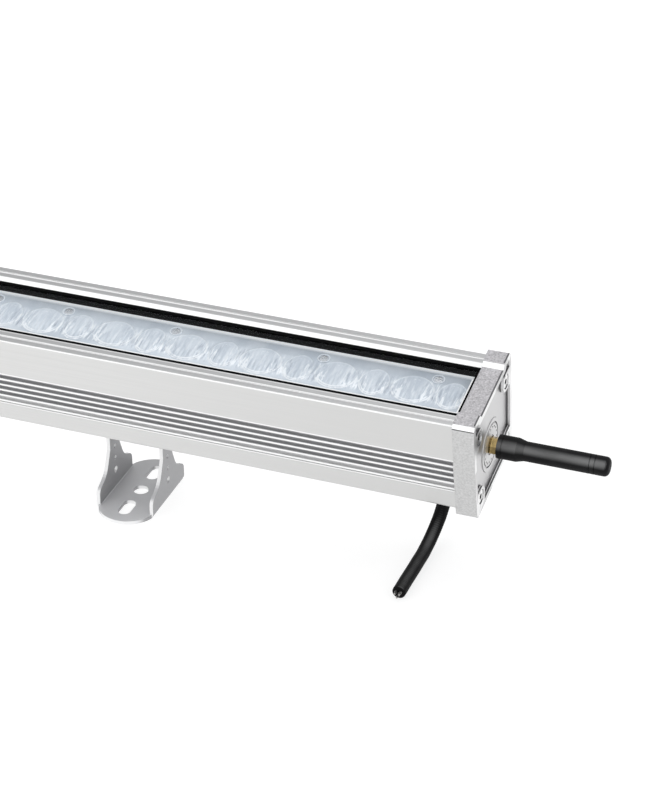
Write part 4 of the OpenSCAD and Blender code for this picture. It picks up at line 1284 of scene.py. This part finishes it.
@dataclass
class Lamp:
    """Finishes of the lamp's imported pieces."""

    shell: dict[Finish, str] = field(default_factory=lambda: {
        ALUMINIUM: "housing", CASTING: "right_end_cap left_end_cap", PLATE: "face_disc",
        SEAL: "right_cap_gasket left_cap_gasket glass_seal", GLASS: "front_glass",
        CAP_SCREW: "right_cap_screws left_cap_screws", PANEL_SCREW: "lens_screws",
    })
    gland: dict[Finish, str] = field(default_factory=lambda: {
        NYLON: "gland_body gland_nut gland_lock_nut", SEAL: "gland_seal",
    })
    inside: dict[Finish, str] = field(default_factory=lambda: {
        WHITE_MASK: "right_led_board left_led_board", PHOSPHOR: "right_leds left_leds",
        ALUMINIUM: "driver_case", NYLON: "driver_potting antenna_lead",
        GREEN_MASK: "radio_board", STEEL: "radio_shield socket_washer",
        GILT: "socket_nut", SHEATH: "supply_lead", INSULATION: "led_leads",
    })

    def build(self) -> None:
        """Dresses the shell, the gland and what is inside, and moulds the lens panels."""
        for finishes in (self.shell, self.gland, self.inside):
            dress(finishes)
        panels = LensPanels()
        for side in Side:
            panels.build(side)


@dataclass
class Antenna:
    """Finishes of the antenna and its socket."""

    finishes: dict[Finish, str] = field(default_factory=lambda: {
        GILT: "antenna_socket antenna_nut antenna_core", RUBBER: "antenna_sleeve",
    })

    def build(self) -> None:
        """Dresses the antenna."""
        dress(self.finishes)


@dataclass
class Clamp:
    """Finishes of one clamp and its bracket."""

    side: Side

    def build(self) -> None:
        """Dresses the clamp and the bracket."""
        side = self.side.label
        dress({
            STEEL: f"{side}_hanger {side}_slot_bolt {side}_slot_nut {side}_pivot_bolts"
                   f" {side}_pivot_nuts",
            NYLON: f"{side}_pivot_washers", COAT: f"{side}_bracket",
        })


@dataclass
class Softbox:
    """A rectangular lamp of the studio."""

    name: str
    place: Point
    aim: Point
    size: tuple[float, float]
    radiance: float

    def build(self) -> None:
        """Hangs the lamp."""
        light = bpy.data.lights.new(self.name, "AREA")
        light.shape = "RECTANGLE"
        light.size, light.size_y = self.size
        light.energy = self.radiance * math.pi * self.size[0] * self.size[1]
        holder = stand(self.name, light)
        holder.location = self.place
        away = Vector(self.place) - Vector(self.aim)
        holder.rotation_mode = "QUATERNION"
        holder.rotation_quaternion = away.to_track_quat("Z", "Y")


@dataclass
class Studio:
    """Pale floor, soft light and the camera."""

    azimuth: float = 20.31
    elevation: float = 30.77
    lens_mm: float = 111.90
    sensor_mm: float = 36
    clip: Band = (0.01, 50)
    camera_place: Point = (0.78745, -1.02632, 0.73198)
    sky: float = 0.72
    sky_tint: Rgb = (0.985, 0.992, 1.0)
    floor_size: float = 9.0
    floor_steps: int = 24
    floor_drop: float = 0.2 * MM
    floor_curl: float = 20 * MM
    curl_power: int = 8
    paper_grain: float = 300
    floor_tints: tuple[Rgb, Rgb] = ((0.29, 0.29, 0.29), (0.31, 0.31, 0.31))
    glow_tints: tuple[Rgb, Rgb] = ((1.0, 1.0, 1.0), (0.9, 0.9, 0.9))
    left_to_right: Band = (0.05, 0.45)
    floor_glow: float = 0.87
    boxes: tuple[Softbox, ...] = (
        Softbox("overhead_box", (0.5, 0.4, 3.0), (0.3, 0, 0), (2.6, 2.0), 1.6),
        Softbox("front_left_box", (-0.9, -2.4, 1.9), (0.3, 0, 0.08), (1.6, 1.2), 2.6),
        Softbox("back_right_strip", (2.2, 1.9, 1.5), (0.3, 0, 0.08), (0.5, 1.8), 2.2),
    )

    def build_camera(self) -> None:
        """Makes the camera of the reference view."""
        data = bpy.data.cameras.new("camera")
        data.lens = self.lens_mm
        data.sensor_width = self.sensor_mm
        data.clip_start, data.clip_end = self.clip
        camera = stand("camera", data)
        turn, rise = math.radians(self.azimuth), math.radians(self.elevation)
        back = Vector((math.sin(turn) * math.cos(rise), -math.cos(turn) * math.cos(rise),
                       math.sin(rise)))
        camera.location = self.camera_place
        camera.rotation_mode = "QUATERNION"
        camera.rotation_quaternion = (-back).to_track_quat("-Z", "Y")
        bpy.context.scene.camera = camera

    def build_floor(self) -> None:
        """Lays the floor, a large pale sheet with a slightly curled edge."""
        half, steps = self.floor_size / 2, self.floor_steps
        line = [half * (2 * i / steps - 1) for i in range(steps + 1)]
        points = [
            (x, y, self.floor_curl * (max(abs(x), abs(y)) / half) ** self.curl_power
             - self.floor_drop)
            for y in line for x in line
        ]
        mesh = bpy.data.meshes.new("studio_floor")
        mesh.from_pydata(points, [], grid_faces(steps, steps))
        mesh.shade_smooth()
        graph = Graph("floor_paper")
        along, _, _ = graph.parts(graph.place())
        mesh.materials.append(graph.solid(
            base_color=graph.blend(*self.floor_tints, graph.grain((self.paper_grain,) * 3)),
            roughness=0.9,
            specular_ior_level=0.1,
            emission_color=graph.blend(*self.glow_tints, along.spread(*self.left_to_right)),
            emission_strength=self.floor_glow,
        ))
        stand("studio_floor", mesh)

    def build_light(self) -> None:
        """Sets an even sky and hangs the softboxes."""
        scene = bpy.context.scene
        scene.world = bpy.data.worlds.new("studio_sky")
        scene.world.use_nodes = True
        sky = scene.world.node_tree.nodes["Background"]
        sky.inputs["Color"].default_value = (*self.sky_tint, 1)
        sky.inputs["Strength"].default_value = self.sky
        for box in self.boxes:
            box.build()
        scene.view_settings.view_transform = "Standard"
        scene.view_settings.look = "None"


def main() -> None:
    """Builds the camera, then every sub-assembly, the cable first, then the floor and the light."""
    logging.basicConfig(level=logging.INFO, format="%(message)s")
    studio = Studio()
    studio.build_camera()
    for part in (SupplyCable(), Lamp(), Antenna(), Clamp(Side.RIGHT), Clamp(Side.LEFT)):
        part.build()
    studio.build_floor()
    studio.build_light()


if __name__ == "__main__":
    main()
